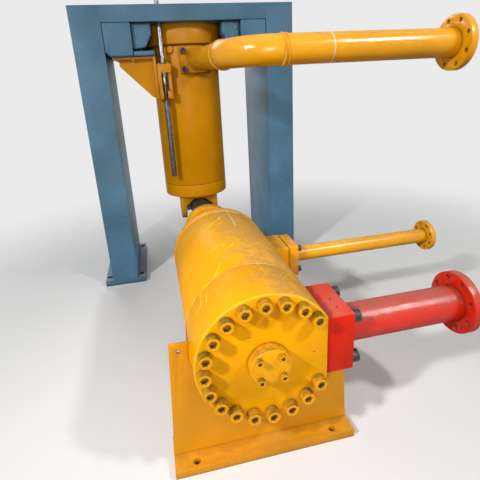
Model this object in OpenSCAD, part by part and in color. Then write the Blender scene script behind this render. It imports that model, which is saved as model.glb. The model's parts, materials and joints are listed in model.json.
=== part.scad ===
// Lower injection group of an upright die casting machine, from the floor up.
// Right is +X, away from the bolted cylinder face is +Y, up is +Z.
// The origin is on the floor, under the axis of the upright shot cylinder.

/* [Bed] */
// Height of the underside of the bed above the floor
bed_under_z = 1475; // [1300:5:1600]
// Height of the bed from its underside to its top
bed_h = 275; // [260:5:340]
// Depth of the bed, front to back
bed_depth = 624; // [560:4:800]
// Distance from the middle to the inner face of each column
column_in = 490; // [480:5:600]
// Width of each column
column_w = 170; // [120:5:260]
// Distance from the middle to the inner face of each bed wall
wall_in = 328; // [300:2:360]
// Thickness of the plate on top of the bed
top_plate_t = 90; // [60:5:120]
// Thickness of the ledge along the bottom of the bed
ledge_t = 27; // [18:1:40]
// Distance from the middle to the inner edge of each ledge
ledge_in = 205; // [195:1:290]

/* [Shot cylinder] */
// Outer diameter of the upright shot cylinder
shot_d = 446; // [400:2:480]
// Height of its lower end above the floor
shot_low_z = 543; // [535:1:640]
// Height of the bottom cap
shot_cap_h = 89; // [50:1:120]
// Diameter of the flange ring at its top
collar_d = 490; // [450:2:500]
// Height of the flange ring
collar_h = 118; // [80:2:130]

/* [Drive cylinder] */
// Outer diameter of the level drive cylinder
drive_d = 480; // [440:2:520]
// Height of its axis above the floor
drive_z = 450; // [400:5:500]
// Distance of its bolted face in front of the shot cylinder axis
face_y = 1872; // [1800:2:1950]
// Length of the bolted head
head_len = 220; // [180:2:260]
// Length from the face to the groove of the rear ring
barrel_len = 850; // [780:2:900]
// Length of the rear ring
rear_ring_len = 50; // [40:2:80]
// Distance from the axis to the flat on the right of the head
flat_x = 208; // [200:1:225]
// Diameter of the circle of head screws
screw_pcd = 421; // [400:1:430]
// Thread size of the head screws
screw_m = 30; // [24:1:36]
// Diameter of the round cover on the face
boss_d = 136; // [110:2:160]
// Height of the round cover
boss_h = 40; // [25:1:60]
// Diameter of the piston rod
rod_d = 124; // [90:2:140]

/* [Pipes] */
// Outer diameter of the shot line
shot_pipe_d = 114; // [100:1:130]
// Outer diameter of the slim line
slim_pipe_d = 76; // [60:1:90]
// Outer diameter of the red line
red_pipe_d = 136; // [110:1:150]
// Distance from the middle to the end of the shot line
line_end_x = 1010; // [900:10:1200]
// Distance from the middle to the end of the slim line
slim_end_x = 1130; // [900:10:1200]
// Distance from the middle to the end of the red line
red_end_x = 815; // [700:5:900]

/* [Gauge rod] */
// Diameter of the polished upper rod
gauge_d = 30; // [16:1:30]
// Diameter of the dark lower tube
tube_d = 34; // [28:1:40]
// Height of the tip of the lower tube above the floor
tube_low_z = 716; // [660:2:800]

/* [Hidden] */

// Roundness, and how far a cut reaches past the part it cuts
round_n = 96;
small_n = 48;
through = 2;

// Colours
yellow = [0.98, 0.68, 0.02];
red_paint = [0.86, 0.20, 0.10];
blue_paint = [0.30, 0.46, 0.60];
dark_steel = [0.16, 0.16, 0.17];
bright_steel = [0.72, 0.72, 0.72];

// Bed
bed_top_z = bed_under_z + bed_h;
column_mid = column_in + column_w / 2;
foot_t = 40;
foot_over = 50;
anchor_d = 36;
anchor_x = column_w / 2 + foot_over / 2;
anchor_y = bed_depth / 2 - 60;
collar_top = bed_top_z - top_plate_t;
wall_chamfer = 26;
sleeve_bore_d = 220;
gauge_hole_d = 60;
back_wall_t = 40;
ledge_clear = 10;
lug_front = 190;
lug_depth = 90;
lug_rise = 36;
lug_low = bed_under_z + lug_rise;
lug_bulge_z = lug_low + 82;
lug_out = 115;
lug_foot = 74;

// Shot cylinder
collar_low = collar_top - collar_h;
shot_cap_top = shot_low_z + shot_cap_h;
cap_round = 8;
seal_groove_h = 12;
seal_groove_t = 9;
port_x = 47;
port_drop = 31;
port_z = bed_under_z - port_drop;
port_w = 204;
port_h = 150;
port_t = 45;
port_front = -262;
port_back = port_front + port_t;
port_block_depth = 90;
port_bolt_x = 81;
port_bolt_z = 54;
port_bolt_m = 24;

// Link under the shot cylinder
link_y = -60;
link_depth = 190;
web_t = 36;
web_out = 130;
link_plate_t = 28;
link_rib_t = 16;
link_rib_in = 34;
link_rib_drop = 43;
pin_d = 56;
pin_ring_d = 84;
eye_w = 110;
eye_d = 118;
eye_neck_d = 96;
rod_end_y = link_y - 75;

// Drive cylinder, as distances along Y
head_back = -face_y + head_len;
groove_y = -face_y + barrel_len;
groove_t = 7;
groove_w = 5;
ring_back = groove_y + rear_ring_len;
neck_d = 250;
gland_d = 290;
neck_len = 340;
gland_y = ring_back + neck_len;
gland_len = 60;
gland_back = gland_y + gland_len;
screw_step = 18;
screw_start = 2;
first_screw = 2;
last_screw = 18;
screw_head_h = screw_m * 1.1;
boss_screw_m = 16;
boss_screw_r = 53;
boss_screw_start = 48;

// Saddles
saddle_t = 12;
saddle_half = 309;
saddle_spread = 0.058;
saddle_rise = 48;
saddle_top_z = drive_z + saddle_rise;
front_saddle_in = 100;
front_saddle_y = -face_y + front_saddle_in;
rear_saddle_in = 290;
rear_saddle_y = groove_y - rear_saddle_in;
rear_half = 225;
rear_top_drop = 60;
rear_top_z = drive_z - rear_top_drop;
red_gap = 6;
saddle_foot_depth = 160;
saddle_foot_t = 30;
saddle_anchor_d = 26;
saddle_hole_d = 14;
saddle_hole_x = 279;
saddle_hole_low = 32;
saddle_anchor_y = 52;

// Red line
red_in = 118;
red_y = -face_y + red_in;
red_side = 218;
flat_back = red_y + red_side / 2 + 1;
red_block_t = 100;
red_face_x = flat_x + red_block_t;
red_bolt = 82;
red_bolt_m = 30;
red_wall = 10;
red_flange_d = 240;
red_flange_t = 34;
red_pcd = 196;

// Slim line
slim_in = 115;
slim_y = groove_y - slim_in;
slim_side = 160;
pad_face_x = 300;
slim_groove = 6;
slim_face_x = 353;
slim_bolt = 56;
slim_bolt_m = 20;
slim_wall = 7;
slim_flange_d = 160;
slim_flange_t = 24;
slim_pcd = 125;

// Shot line
stub_len = 900;
stub_over = 10;
line_bead_w = 8;
line_bead_h = 3;
bend_r = 190;
line_y = port_front - stub_len - bend_r;
line_drop = 32;
line_z = port_z - line_drop;
line_wall = 9;
line_flange_d = 220;
line_flange_t = 30;
line_pcd = 180;
flange_holes = 8;

// Guide for the gauge rod
gauge_x = -163;
gauge_y = -240;
guide_left = -205;
guide_right = -117;
guide_depth = 60;
guide_drop = 255;
guide_low = bed_under_z - guide_drop;
guide_h = 208;
guide_top = guide_low + guide_h;
slot_rise = 48;
slot_low = guide_low + slot_rise;
slot_h = 108;
slot_top = slot_low + slot_h;
slot_left = -179;
strip_t = 20;
strip_in = 24;
guide_screw_m = 10;
guide_screw_in = 24;
guide_screw_sink = 10;
guide_bore = gauge_d + 1;
tube_neck_d = 24;
tube_neck_drop = 27;
tube_neck_bore = tube_neck_d + 1;
bracket_t = 16;
bracket_depth = 80;
bracket_left = -455;
bracket_web_t = 14;
bracket_web_left = -421;
bracket_web_end = 37;
bracket_web_foot = 25;
gauge_over = 60;
gauge_top = bed_top_z + gauge_over;
coupling_d = 38;
coupling_h = 42;
coupling_gap = 2;
nut_d = 27;
nut_h = 54;
nut_rise = 37;
nut_low = slot_low + nut_rise;

// A round bar along Y from y0 to y1 on the drive axis height
module along_y(d, y0, y1, x = 0, z = drive_z, n = round_n) {
    translate([x, y0, z])
        rotate([-90, 0, 0])
            cylinder(d = d, h = y1 - y0, $fn = n);
}

// A round bar along X from x0 to x1
module along_x(d, x0, x1, y, z, n = round_n) {
    translate([x0, y, z])
        rotate([0, 90, 0])
            cylinder(d = d, h = x1 - x0, $fn = n);
}

// A box given by two opposite corners
module box(a, b) {
    translate(a)
        cube(b - a);
}

// A socket head screw, its seat at the origin and its head along +Z
module socket_screw(m, head_h, sink) {
    difference() {
        union() {
            cylinder(d = m * 1.5, h = head_h, $fn = small_n);
            translate([0, 0, -sink])
                cylinder(d = m, h = sink + 1, $fn = small_n);
        }
        translate([0, 0, head_h - m * 0.6])
            cylinder(d = m * 0.9, h = m, $fn = 6);
    }
}

// A hex bolt head, its seat at the origin and its head along +Z
module hex_bolt(m, sink) {
    cylinder(d = m * 1.75, h = m * 0.7, $fn = 6);
    translate([0, 0, -sink])
        cylinder(d = m, h = sink + 1, $fn = small_n);
}

// One column of the bed with its foot, for the right side
module column() {
    half = bed_depth / 2;
    difference() {
        union() {
            box([column_in, -half, 0], [column_in + column_w, half, bed_top_z]);
            box([column_in - foot_over, -half, 0],
                [column_in + column_w + foot_over, half, foot_t]);
        }
        for (sx = [-1, 1], sy = [-1, 1])
            translate([column_mid + sx * anchor_x, sy * anchor_y, -through])
                cylinder(d = anchor_d, h = foot_t + 2 * through, $fn = small_n);
    }
}

module bed_left_column() {
    color(blue_paint) mirror([1, 0, 0]) column();
}

module bed_right_column() {
    color(blue_paint) column();
}

// One wall between the column and the throat of the bed, for the right side
module bed_wall() {
    half = bed_depth / 2;
    translate([0, half, 0])
        rotate([90, 0, 0])
            linear_extrude(height = bed_depth)
                polygon([
                    [wall_in, bed_under_z],
                    [column_in - wall_chamfer, bed_under_z],
                    [column_in, bed_under_z + wall_chamfer],
                    [column_in, collar_top],
                    [wall_in, collar_top]
                ]);
}

module bed_left_wall() {
    color(blue_paint) mirror([1, 0, 0]) bed_wall();
}

module bed_right_wall() {
    color(blue_paint) bed_wall();
}

module bed_back_wall() {
    half = bed_depth / 2;
    color(blue_paint)
        box([-wall_in, half - back_wall_t, bed_under_z], [wall_in, half, collar_top]);
}

module bed_top_plate() {
    half = bed_depth / 2;
    color(blue_paint)
        difference() {
            box([-column_in, -half, collar_top], [column_in, half, bed_top_z]);
            translate([0, 0, collar_top - through])
                cylinder(d = sleeve_bore_d, h = top_plate_t + 2 * through, $fn = round_n);
            translate([gauge_x, gauge_y, collar_top - through])
                cylinder(d = gauge_hole_d, h = top_plate_t + 2 * through, $fn = small_n);
        }
}

// Ledges along the bottom of the throat, one each side
module bed_ledges() {
    half = bed_depth / 2;
    color(blue_paint)
        for (m = [0, 1])
            mirror([m, 0, 0])
                difference() {
                    box([ledge_in, -half, bed_under_z],
                        [wall_in, half - back_wall_t, bed_under_z + ledge_t]);
                    translate([0, 0, bed_under_z - through])
                        cylinder(d = shot_d + 2 * ledge_clear, h = ledge_t + 2 * through, $fn = round_n);
                }
}

// Rough cast lugs on the inner faces of the walls
module cast_lugs() {
    color(blue_paint)
        for (m = [0, 1])
            mirror([m, 0, 0])
                translate([0, -lug_front, 0])
                    rotate([90, 0, 0])
                        linear_extrude(height = lug_depth)
                            polygon([
                                [wall_in, lug_low],
                                [wall_in - lug_foot, lug_low + 10],
                                [wall_in - lug_out, lug_bulge_z],
                                [wall_in - lug_out, collar_top],
                                [wall_in, collar_top]
                            ]);
}

module shot_collar() {
    color(yellow)
        translate([0, 0, collar_low])
            cylinder(d = collar_d, h = collar_h, $fn = round_n);
}

module shot_barrel() {
    color(yellow)
        difference() {
            translate([0, 0, shot_cap_top])
                cylinder(d = shot_d, h = collar_low - shot_cap_top, $fn = round_n);
            translate([0, 0, collar_low - seal_groove_h])
                difference() {
                    cylinder(d = shot_d + 2 * through, h = seal_groove_h + through, $fn = round_n);
                    translate([0, 0, -through])
                        cylinder(d = shot_d - 2 * seal_groove_t, h = 2 * seal_groove_h, $fn = round_n);
                }
            port_space(shot_d);
        }
}

// The room that the port block takes in the barrel, reaching a distance forward
module port_space(forward) {
    box([port_x - port_w / 2, port_back - forward, port_z - port_h / 2],
        [port_x + port_w / 2, port_back + port_block_depth, port_z + port_h / 2]);
}

module shot_port_block() {
    color(yellow)
        port_space(0);
}

module shot_bottom_cap() {
    color(yellow)
        translate([0, 0, shot_low_z])
            rotate_extrude($fn = round_n)
                union() {
                    square([shot_d / 2 - cap_round, shot_cap_h]);
                    translate([0, cap_round])
                        square([shot_d / 2, shot_cap_h - cap_round]);
                    translate([shot_d / 2 - cap_round, cap_round])
                        circle(r = cap_round, $fn = small_n);
                }
}

// Bracket under the shot cylinder: a plate, two cheeks bored for the pin, and ribs in the corners
module link_bracket() {
    y0 = link_y - link_depth / 2;
    y1 = y0 + link_depth;
    plate_z = shot_low_z - link_plate_t;
    color(yellow)
        difference() {
            union() {
                box([-web_out, y0, plate_z], [web_out, y1, shot_low_z]);
                for (m = [0, 1])
                    mirror([m, 0, 0]) {
                        translate([web_out - web_t, 0, 0])
                            rotate([90, 0, 90])
                                linear_extrude(height = web_t)
                                    union() {
                                        translate([y0, drive_z])
                                            square([link_depth, plate_z - drive_z]);
                                        intersection() {
                                            translate([link_y, drive_z])
                                                circle(d = link_depth, $fn = round_n);
                                            translate([y0, drive_z - link_depth / 2])
                                                square([link_depth, link_depth / 2 + through]);
                                        }
                                    }
                        link_rib(y0, plate_z);
                    }
            }
            along_x(pin_d, -web_out - through, web_out + through, link_y, drive_z);
        }
}

// The triangular rib between the plate and a cheek, at the front
module link_rib(y, plate_z) {
    cheek = web_out - web_t;
    translate([0, y + link_rib_t, 0])
        rotate([90, 0, 0])
            linear_extrude(height = link_rib_t)
                polygon([
                    [link_rib_in, plate_z],
                    [cheek, plate_z],
                    [cheek, plate_z - link_rib_drop]
                ]);
}

// Pin with a spacer ring on each side of the rod eye
module link_pin() {
    color(dark_steel) {
        along_x(pin_d, -web_out, web_out, link_y, drive_z);
        for (m = [0, 1])
            mirror([m, 0, 0])
                along_x(pin_ring_d, eye_w / 2, web_out - web_t, link_y, drive_z);
    }
}

module drive_head() {
    color(yellow)
        difference() {
            along_y(drive_d, -face_y, head_back);
            box([flat_x, -face_y - through, drive_z - drive_d],
                [drive_d, head_back + through, drive_z + drive_d]);
            head_screw_places()
                translate([0, 0, -screw_m * 2])
                    cylinder(d = screw_m, h = screw_m * 2 + through, $fn = small_n);
            boss_screw_places(0)
                translate([0, 0, -boss_screw_m * 2])
                    cylinder(d = boss_screw_m, h = boss_screw_m * 2 + through, $fn = small_n);
        }
}

// Puts its child at each head screw, with +Z away from the face
module head_screw_places() {
    for (k = [first_screw : last_screw])
        translate([0, -face_y, drive_z])
            rotate([0, -(screw_start + k * screw_step), 0])
                translate([screw_pcd / 2, 0, 0])
                    rotate([90, 0, 0])
                        children();
}

module drive_head_screws() {
    color(yellow)
        head_screw_places()
            socket_screw(screw_m, screw_head_h, screw_m * 2);
}

// Puts its child at each screw of the round cover
module boss_screw_places(lift) {
    for (k = [0 : 3])
        translate([0, -face_y - lift, drive_z])
            rotate([0, -(boss_screw_start + k * 90), 0])
                translate([boss_screw_r, 0, 0])
                    rotate([90, 0, 0])
                        children();
}

module boss_cover() {
    color(yellow)
        difference() {
            along_y(boss_d, -face_y - boss_h, -face_y, n = round_n);
            boss_screw_places(boss_h)
                translate([0, 0, -boss_h - through])
                    cylinder(d = boss_screw_m, h = boss_h + 2 * through, $fn = small_n);
        }
}

module boss_screws() {
    color(yellow)
        boss_screw_places(boss_h)
            socket_screw(boss_screw_m, boss_screw_m * 1.1, boss_h + boss_screw_m * 2);
}

module drive_barrel() {
    color(yellow)
        difference() {
            along_y(drive_d, head_back, groove_y);
            // A shallow groove all round at the rear
            difference() {
                along_y(drive_d + 2 * through, groove_y - groove_w, groove_y + through);
                along_y(drive_d - 2 * groove_t, groove_y - groove_w - through, groove_y + 2 * through);
            }
            // The flat under the red block runs on a little from the head
            box([flat_x, head_back - through, drive_z - drive_d],
                [drive_d, flat_back, drive_z + drive_d]);
        }
}

module drive_rear_ring() {
    color(yellow) along_y(drive_d, groove_y, ring_back);
}

module drive_neck() {
    color(yellow) along_y(neck_d, ring_back, gland_y);
}

module drive_gland() {
    color(yellow)
        difference() {
            along_y(gland_d, gland_y, gland_back);
            along_y(rod_d, gland_y - through, gland_back + through);
        }
}

module piston_rod() {
    color(bright_steel)
        along_y(rod_d, gland_y, rod_end_y);
}

module rod_eye() {
    color(dark_steel)
        difference() {
            union() {
                along_x(eye_d, -eye_w / 2, eye_w / 2, link_y, drive_z);
                along_y(eye_neck_d, rod_end_y, link_y);
            }
            along_x(pin_d, -eye_w, eye_w, link_y, drive_z);
        }
}

// A plate across the cylinder with a round seat, wider at its foot, standing on a base
module saddle(y, half, top) {
    mid = y + saddle_t / 2;
    low_half = half + top * saddle_spread;
    difference() {
        union() {
            translate([0, y + saddle_t, 0])
                rotate([90, 0, 0])
                    linear_extrude(height = saddle_t)
                        polygon([[-low_half, 0], [low_half, 0], [half, top], [-half, top]]);
            box([-low_half, mid - saddle_foot_depth / 2, 0],
                [low_half, mid + saddle_foot_depth / 2, saddle_foot_t]);
        }
        along_y(drive_d, y - through, y + saddle_t + through);
        box([-drive_d / 2, y - through, drive_z],
            [drive_d / 2, y + saddle_t + through, drive_z + drive_d]);
        for (sx = [-1, 1], sy = [-1, 1])
            translate([sx * (half - 50), mid + sy * saddle_anchor_y, -through])
                cylinder(d = saddle_anchor_d, h = saddle_foot_t + 2 * through, $fn = small_n);
    }
}

// The front saddle reaches higher on the left and stops under the red block on the right
module front_saddle() {
    y = front_saddle_y;
    color(yellow)
        difference() {
            saddle(y, saddle_half, saddle_top_z);
            box([0, y - through, drive_z - red_side / 2 - red_gap],
                [saddle_half + red_side, y + saddle_t + through, saddle_top_z + through]);
            along_y(saddle_hole_d, y - through, y + saddle_t + through,
                -saddle_hole_x, saddle_top_z - saddle_hole_low, small_n);
        }
}

module rear_saddle() {
    color(yellow)
        saddle(rear_saddle_y, rear_half, rear_top_z);
}

// Puts its child at four bolts of a square flange that faces +X
module square_flange_bolts(x, y, z, half) {
    for (sy = [-1, 1], sz = [-1, 1])
        translate([x, y + sy * half, z + sz * half])
            rotate([0, 90, 0])
                children();
}

module red_flange_block() {
    color(red_paint)
        difference() {
            box([flat_x, red_y - red_side / 2, drive_z - red_side / 2],
                [red_face_x, red_y + red_side / 2, drive_z + red_side / 2]);
            square_flange_bolts(red_face_x, red_y, drive_z, red_bolt)
                translate([0, 0, -red_block_t])
                    cylinder(d = red_bolt_m, h = red_block_t + through, $fn = small_n);
        }
}

module red_flange_bolts() {
    color(dark_steel)
        square_flange_bolts(red_face_x, red_y, drive_z, red_bolt)
            socket_screw(red_bolt_m, red_bolt_m, red_block_t * 0.9);
}

// A straight pipe along X with a bore
module pipe_x(d, wall, x0, x1, y, z) {
    difference() {
        along_x(d, x0, x1, y, z);
        along_x(d - 2 * wall, x0 - through, x1 + through, y, z);
    }
}

// A round end flange on a pipe along X, with a ring of bolt holes
module end_flange(pipe_d, d, t, pcd, hole_d, x, y, z) {
    difference() {
        along_x(d, x - t, x, y, z);
        along_x(pipe_d, x - t - through, x + through, y, z);
        for (k = [0 : flange_holes - 1])
            translate([x - t - through, y, z])
                rotate([(k + 0.5) * 360 / flange_holes, 0, 0])
                    translate([0, pcd / 2, 0])
                        rotate([0, 90, 0])
                            cylinder(d = hole_d, h = t + 2 * through, $fn = small_n);
    }
}

module red_pipe() {
    color(red_paint)
        pipe_x(red_pipe_d, red_wall, red_face_x, red_end_x, red_y, drive_z);
}

module red_end_flange() {
    color(red_paint)
        end_flange(red_pipe_d, red_flange_d, red_flange_t, red_pcd, 22, red_end_x, red_y, drive_z);
}

module slim_pad() {
    color(yellow)
        difference() {
            box([drive_d / 2 - 60, slim_y - slim_side / 2 - 10, drive_z - slim_side / 2],
                [pad_face_x, slim_y + slim_side / 2 + 10, drive_z + slim_side / 2]);
            along_y(drive_d, slim_y - slim_side, slim_y + slim_side);
        }
}

module slim_flange() {
    inner = slim_side / 2 - 10;
    color(yellow)
        difference() {
            union() {
                box([pad_face_x + slim_groove, slim_y - slim_side / 2, drive_z - slim_side / 2],
                    [slim_face_x, slim_y + slim_side / 2, drive_z + slim_side / 2]);
                box([pad_face_x, slim_y - inner, drive_z - inner],
                    [pad_face_x + slim_groove + 1, slim_y + inner, drive_z + inner]);
            }
            square_flange_bolts(slim_face_x, slim_y, drive_z, slim_bolt)
                translate([0, 0, -60])
                    cylinder(d = slim_bolt_m, h = 60 + through, $fn = small_n);
        }
}

module slim_flange_bolts() {
    color(dark_steel)
        square_flange_bolts(slim_face_x, slim_y, drive_z, slim_bolt)
            socket_screw(slim_bolt_m, slim_bolt_m, 50);
}

module slim_pipe() {
    color(yellow)
        pipe_x(slim_pipe_d, slim_wall, slim_face_x, slim_end_x, slim_y, drive_z);
}

module slim_end_flange() {
    color(yellow)
        end_flange(slim_pipe_d, slim_flange_d, slim_flange_t, slim_pcd, 18, slim_end_x, slim_y, drive_z);
}

// Puts its child at the four bolts of the shot line flange, +Z toward the front
module port_bolt_places() {
    for (sx = [-1, 1], sz = [-1, 1])
        translate([port_x + sx * port_bolt_x, port_front, port_z + sz * port_bolt_z])
            rotate([90, 0, 0])
                children();
}

module shot_line_flange() {
    color(yellow)
        difference() {
            box([port_x - port_w / 2, port_front, port_z - port_h / 2],
                [port_x + port_w / 2, port_back, port_z + port_h / 2]);
            port_bolt_places()
                translate([0, 0, -port_t - through])
                    cylinder(d = port_bolt_m, h = port_t + 2 * through, $fn = small_n);
        }
}

module shot_line_bolts() {
    color(dark_steel)
        port_bolt_places()
            socket_screw(port_bolt_m, port_bolt_m, port_t);
}

// Stub that falls a little toward the front, a quarter bend and the straight run to the right
module shot_line_pipe() {
    bend_x = port_x + bend_r;
    bend_y = line_y + bend_r;
    stub_fall = atan(line_drop / stub_len);
    stub_run = sqrt(line_drop * line_drop + stub_len * stub_len);
    bead_half = line_bead_w / 2;
    color(yellow)
        difference() {
            union() {
                difference() {
                    translate([port_x, bend_y, line_z])
                        rotate([stub_fall - 90, 0, 0])
                            cylinder(d = shot_pipe_d, h = stub_run + stub_over, $fn = round_n);
                    box([port_x - port_w / 2, port_front, port_z - port_h],
                        [port_x + port_w / 2, port_back, port_z + port_h]);
                }
                // The weld ring where the stub meets the bend
                along_y(shot_pipe_d + 2 * line_bead_h, bend_y - bead_half, bend_y + bead_half,
                    port_x, line_z);
                translate([bend_x, bend_y, line_z])
                    rotate([0, 0, 180])
                        rotate_extrude(angle = 90, $fn = round_n)
                            translate([bend_r, 0])
                                circle(d = shot_pipe_d, $fn = small_n);
                along_x(shot_pipe_d, bend_x, line_end_x, line_y, line_z);
            }
            along_x(shot_pipe_d - 2 * line_wall, bend_x + bend_r, line_end_x + through, line_y, line_z);
        }
}

module shot_line_end_flange() {
    color(yellow)
        end_flange(shot_pipe_d, line_flange_d, line_flange_t, line_pcd, 18, line_end_x, line_y, line_z);
}

// Angle bracket under the left ledge with a web across its corner
module gusset_bracket() {
    y0 = gauge_y - bracket_depth / 2;
    top = bed_under_z;
    under = top - bracket_t;
    back = guide_left - bracket_t;
    color(yellow) {
        box([bracket_left, y0, under], [guide_left, y0 + bracket_depth, top]);
        box([back, y0, guide_low], [guide_left, y0 + bracket_depth, under + 1]);
        translate([0, gauge_y + bracket_web_t / 2, 0])
            rotate([90, 0, 0])
                linear_extrude(height = bracket_web_t)
                    polygon([
                        [back + 1, guide_low + 5],
                        [back - bracket_web_foot, guide_low + 19],
                        [bracket_web_left, under - bracket_web_end],
                        [bracket_web_left, under + 1],
                        [back + 1, under + 1]
                    ]);
    }
}

// C shaped guide: an upper arm, a slot open to the right in front, a thin strip set back on the
// right and a lower block with a narrow groove in its front
module guide_block() {
    y0 = gauge_y - guide_depth / 2;
    color(yellow)
        difference() {
            box([guide_left, y0, guide_low], [guide_right, y0 + guide_depth, guide_top]);
            box([slot_left, y0 - through, slot_low],
                [guide_right - strip_t, y0 + guide_depth + through, slot_top]);
            box([slot_left, y0 - through, slot_low], [guide_right + through, y0 + strip_in, slot_top]);
            translate([gauge_x, gauge_y, slot_top - through])
                cylinder(d = guide_bore, h = guide_top - slot_top + 2 * through, $fn = small_n);
            translate([gauge_x, gauge_y, guide_low - through])
                cylinder(d = tube_neck_bore, h = slot_low - guide_low + 2 * through, $fn = small_n);
            box([gauge_x - tube_neck_bore / 2, y0 - through, guide_low - through],
                [gauge_x + tube_neck_bore / 2, gauge_y, slot_low + through]);
            guide_screw_places()
                translate([0, 0, -guide_screw_sink])
                    cylinder(d = guide_screw_m, h = guide_screw_sink + through, $fn = small_n);
        }
}

// Puts its child at the two screws on the right of the guide
module guide_screw_places() {
    for (z = [guide_low + guide_screw_in, guide_top - guide_screw_in])
        translate([guide_right, gauge_y, z])
            rotate([0, 90, 0])
                children();
}

module guide_screws() {
    color(dark_steel)
        guide_screw_places()
            socket_screw(guide_screw_m, guide_screw_m, guide_screw_sink);
}

module gauge_rod() {
    color(bright_steel) {
        translate([gauge_x, gauge_y, nut_low + nut_h])
            cylinder(d = gauge_d, h = gauge_top - nut_low - nut_h, $fn = small_n);
        translate([gauge_x, gauge_y, guide_top + coupling_gap])
            cylinder(d = coupling_d, h = coupling_h, $fn = small_n);
    }
}

module gauge_tube() {
    shoulder_z = guide_low - tube_neck_drop;
    color(dark_steel) {
        translate([gauge_x, gauge_y, tube_low_z])
            cylinder(d = tube_d, h = shoulder_z - tube_low_z, $fn = small_n);
        translate([gauge_x, gauge_y, shoulder_z - 1])
            cylinder(d = tube_neck_d, h = nut_low - shoulder_z + 1, $fn = small_n);
    }
}

module gauge_nut() {
    color(bright_steel)
        translate([gauge_x, gauge_y, nut_low])
            cylinder(d = nut_d, h = nut_h, $fn = 6);
}

bed_left_column();
bed_right_column();
bed_left_wall();
bed_right_wall();
bed_back_wall();
bed_top_plate();
bed_ledges();
cast_lugs();
shot_collar();
shot_barrel();
shot_bottom_cap();
shot_port_block();
link_bracket();
link_pin();
drive_head();
drive_head_screws();
boss_cover();
boss_screws();
drive_barrel();
drive_rear_ring();
drive_neck();
drive_gland();
piston_rod();
rod_eye();
front_saddle();
rear_saddle();
red_flange_block();
red_flange_bolts();
red_pipe();
red_end_flange();
slim_pad();
slim_flange();
slim_flange_bolts();
slim_pipe();
slim_end_flange();
shot_line_flange();
shot_line_bolts();
shot_line_pipe();
shot_line_end_flange();
gusset_bracket();
guide_block();
guide_screws();
gauge_rod();
gauge_tube();
gauge_nut();
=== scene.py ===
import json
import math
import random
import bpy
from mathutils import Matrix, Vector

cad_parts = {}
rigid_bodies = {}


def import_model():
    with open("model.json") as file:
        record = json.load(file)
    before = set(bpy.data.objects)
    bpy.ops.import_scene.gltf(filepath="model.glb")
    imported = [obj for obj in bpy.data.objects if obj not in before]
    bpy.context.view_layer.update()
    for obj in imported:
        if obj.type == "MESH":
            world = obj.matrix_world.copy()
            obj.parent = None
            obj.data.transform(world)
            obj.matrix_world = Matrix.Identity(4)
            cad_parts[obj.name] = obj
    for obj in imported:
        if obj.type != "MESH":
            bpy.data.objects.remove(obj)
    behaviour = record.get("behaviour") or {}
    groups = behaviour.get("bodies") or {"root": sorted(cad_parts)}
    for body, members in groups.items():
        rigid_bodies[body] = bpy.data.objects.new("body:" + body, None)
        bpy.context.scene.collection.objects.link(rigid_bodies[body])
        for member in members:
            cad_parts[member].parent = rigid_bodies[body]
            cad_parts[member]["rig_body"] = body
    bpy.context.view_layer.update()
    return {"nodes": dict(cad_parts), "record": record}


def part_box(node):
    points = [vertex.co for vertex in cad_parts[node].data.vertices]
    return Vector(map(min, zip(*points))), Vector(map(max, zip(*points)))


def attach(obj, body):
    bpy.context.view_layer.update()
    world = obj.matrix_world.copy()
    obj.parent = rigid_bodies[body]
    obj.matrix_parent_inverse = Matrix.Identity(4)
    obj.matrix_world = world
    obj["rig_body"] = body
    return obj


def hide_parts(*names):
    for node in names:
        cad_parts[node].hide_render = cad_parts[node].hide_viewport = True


bl_info = {
    "name": "Injection Group of an Upright Die Casting Machine",
    "version": (1, 0, 0),
    "blender": (4, 5, 0),
    "location": "View3D > Sidebar > Machine",
    "description": "Dresses the bed, cylinders, pipe lines and gauge rod of the injection group",
    "category": "Object",
}

import bmesh
import bpy
from bpy.props import FloatProperty, FloatVectorProperty, IntProperty, PointerProperty
from bpy.types import Operator, Panel, PropertyGroup
from mathutils import Matrix, Vector, noise

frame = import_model()
SLOT_OF = {part["node"]: part["material_slot"] for part in frame["record"]["subparts"]}

# The pale background, and how far from the middle the floor melts into it
BACKGROUND = (0.83, 0.83, 0.83, 1.0)
MELT_START = 0.9
MELT_END = 3.4
MACHINE_MIDDLE = (0.3, -0.8, 0.0)
MIRROR_RAYS = ("Is Glossy Ray", "Is Transmission Ray")

# Directions of the frame
RIGHT = Vector((1, 0, 0))
BACK = Vector((0, 1, 0))
UP = Vector((0, 0, 1))

# Tints of dirt, wear and bare places, and of painted shade and painted highlights
WHITE = (1.0, 1.0, 1.0, 1.0)
BLACK = (0.0, 0.0, 0.0, 1.0)
# Near black, painted into the corners of enamel as painted shade
CORNER_SHADE = (0.030, 0.018, 0.006, 1.0)
CHIP_TINT = (0.040, 0.028, 0.020, 1.0)
SCUFF_TINT = (0.86, 0.60, 0.26, 1.0)
# Pale worn paint and a painted highlight along the drive cylinder's seam and groove
WORN_AND_LIT_LINE = (0.90, 0.58, 0.18, 1.0)
# Painted highlight on the broken edge of the drive head's face
PAINTED_EDGE_HIGHLIGHT = (1.0, 0.62, 0.06, 1.0)
BRIGHT_STROKE = (0.98, 0.62, 0.02, 1.0)
PALE_SCRATCH = (0.80, 0.66, 0.44, 1.0)
NICK_TINT = (0.22, 0.085, 0.006, 1.0)
PUNCH_TINT = (0.05, 0.018, 0.012, 1.0)
DARK_SEAM = (0.060, 0.030, 0.004, 1.0)
DARK_SCRATCH = (0.12, 0.060, 0.008, 1.0)
PALE_RING = (0.84, 0.62, 0.42, 1.0)
# A dark band on the red block's top face
DARK_TOP_BAND = (0.30, 0.035, 0.020, 1.0)
OLIVE_DUST = (0.17, 0.115, 0.012)
CAST_DUST = (0.28, 0.27, 0.25, 1.0)
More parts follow.
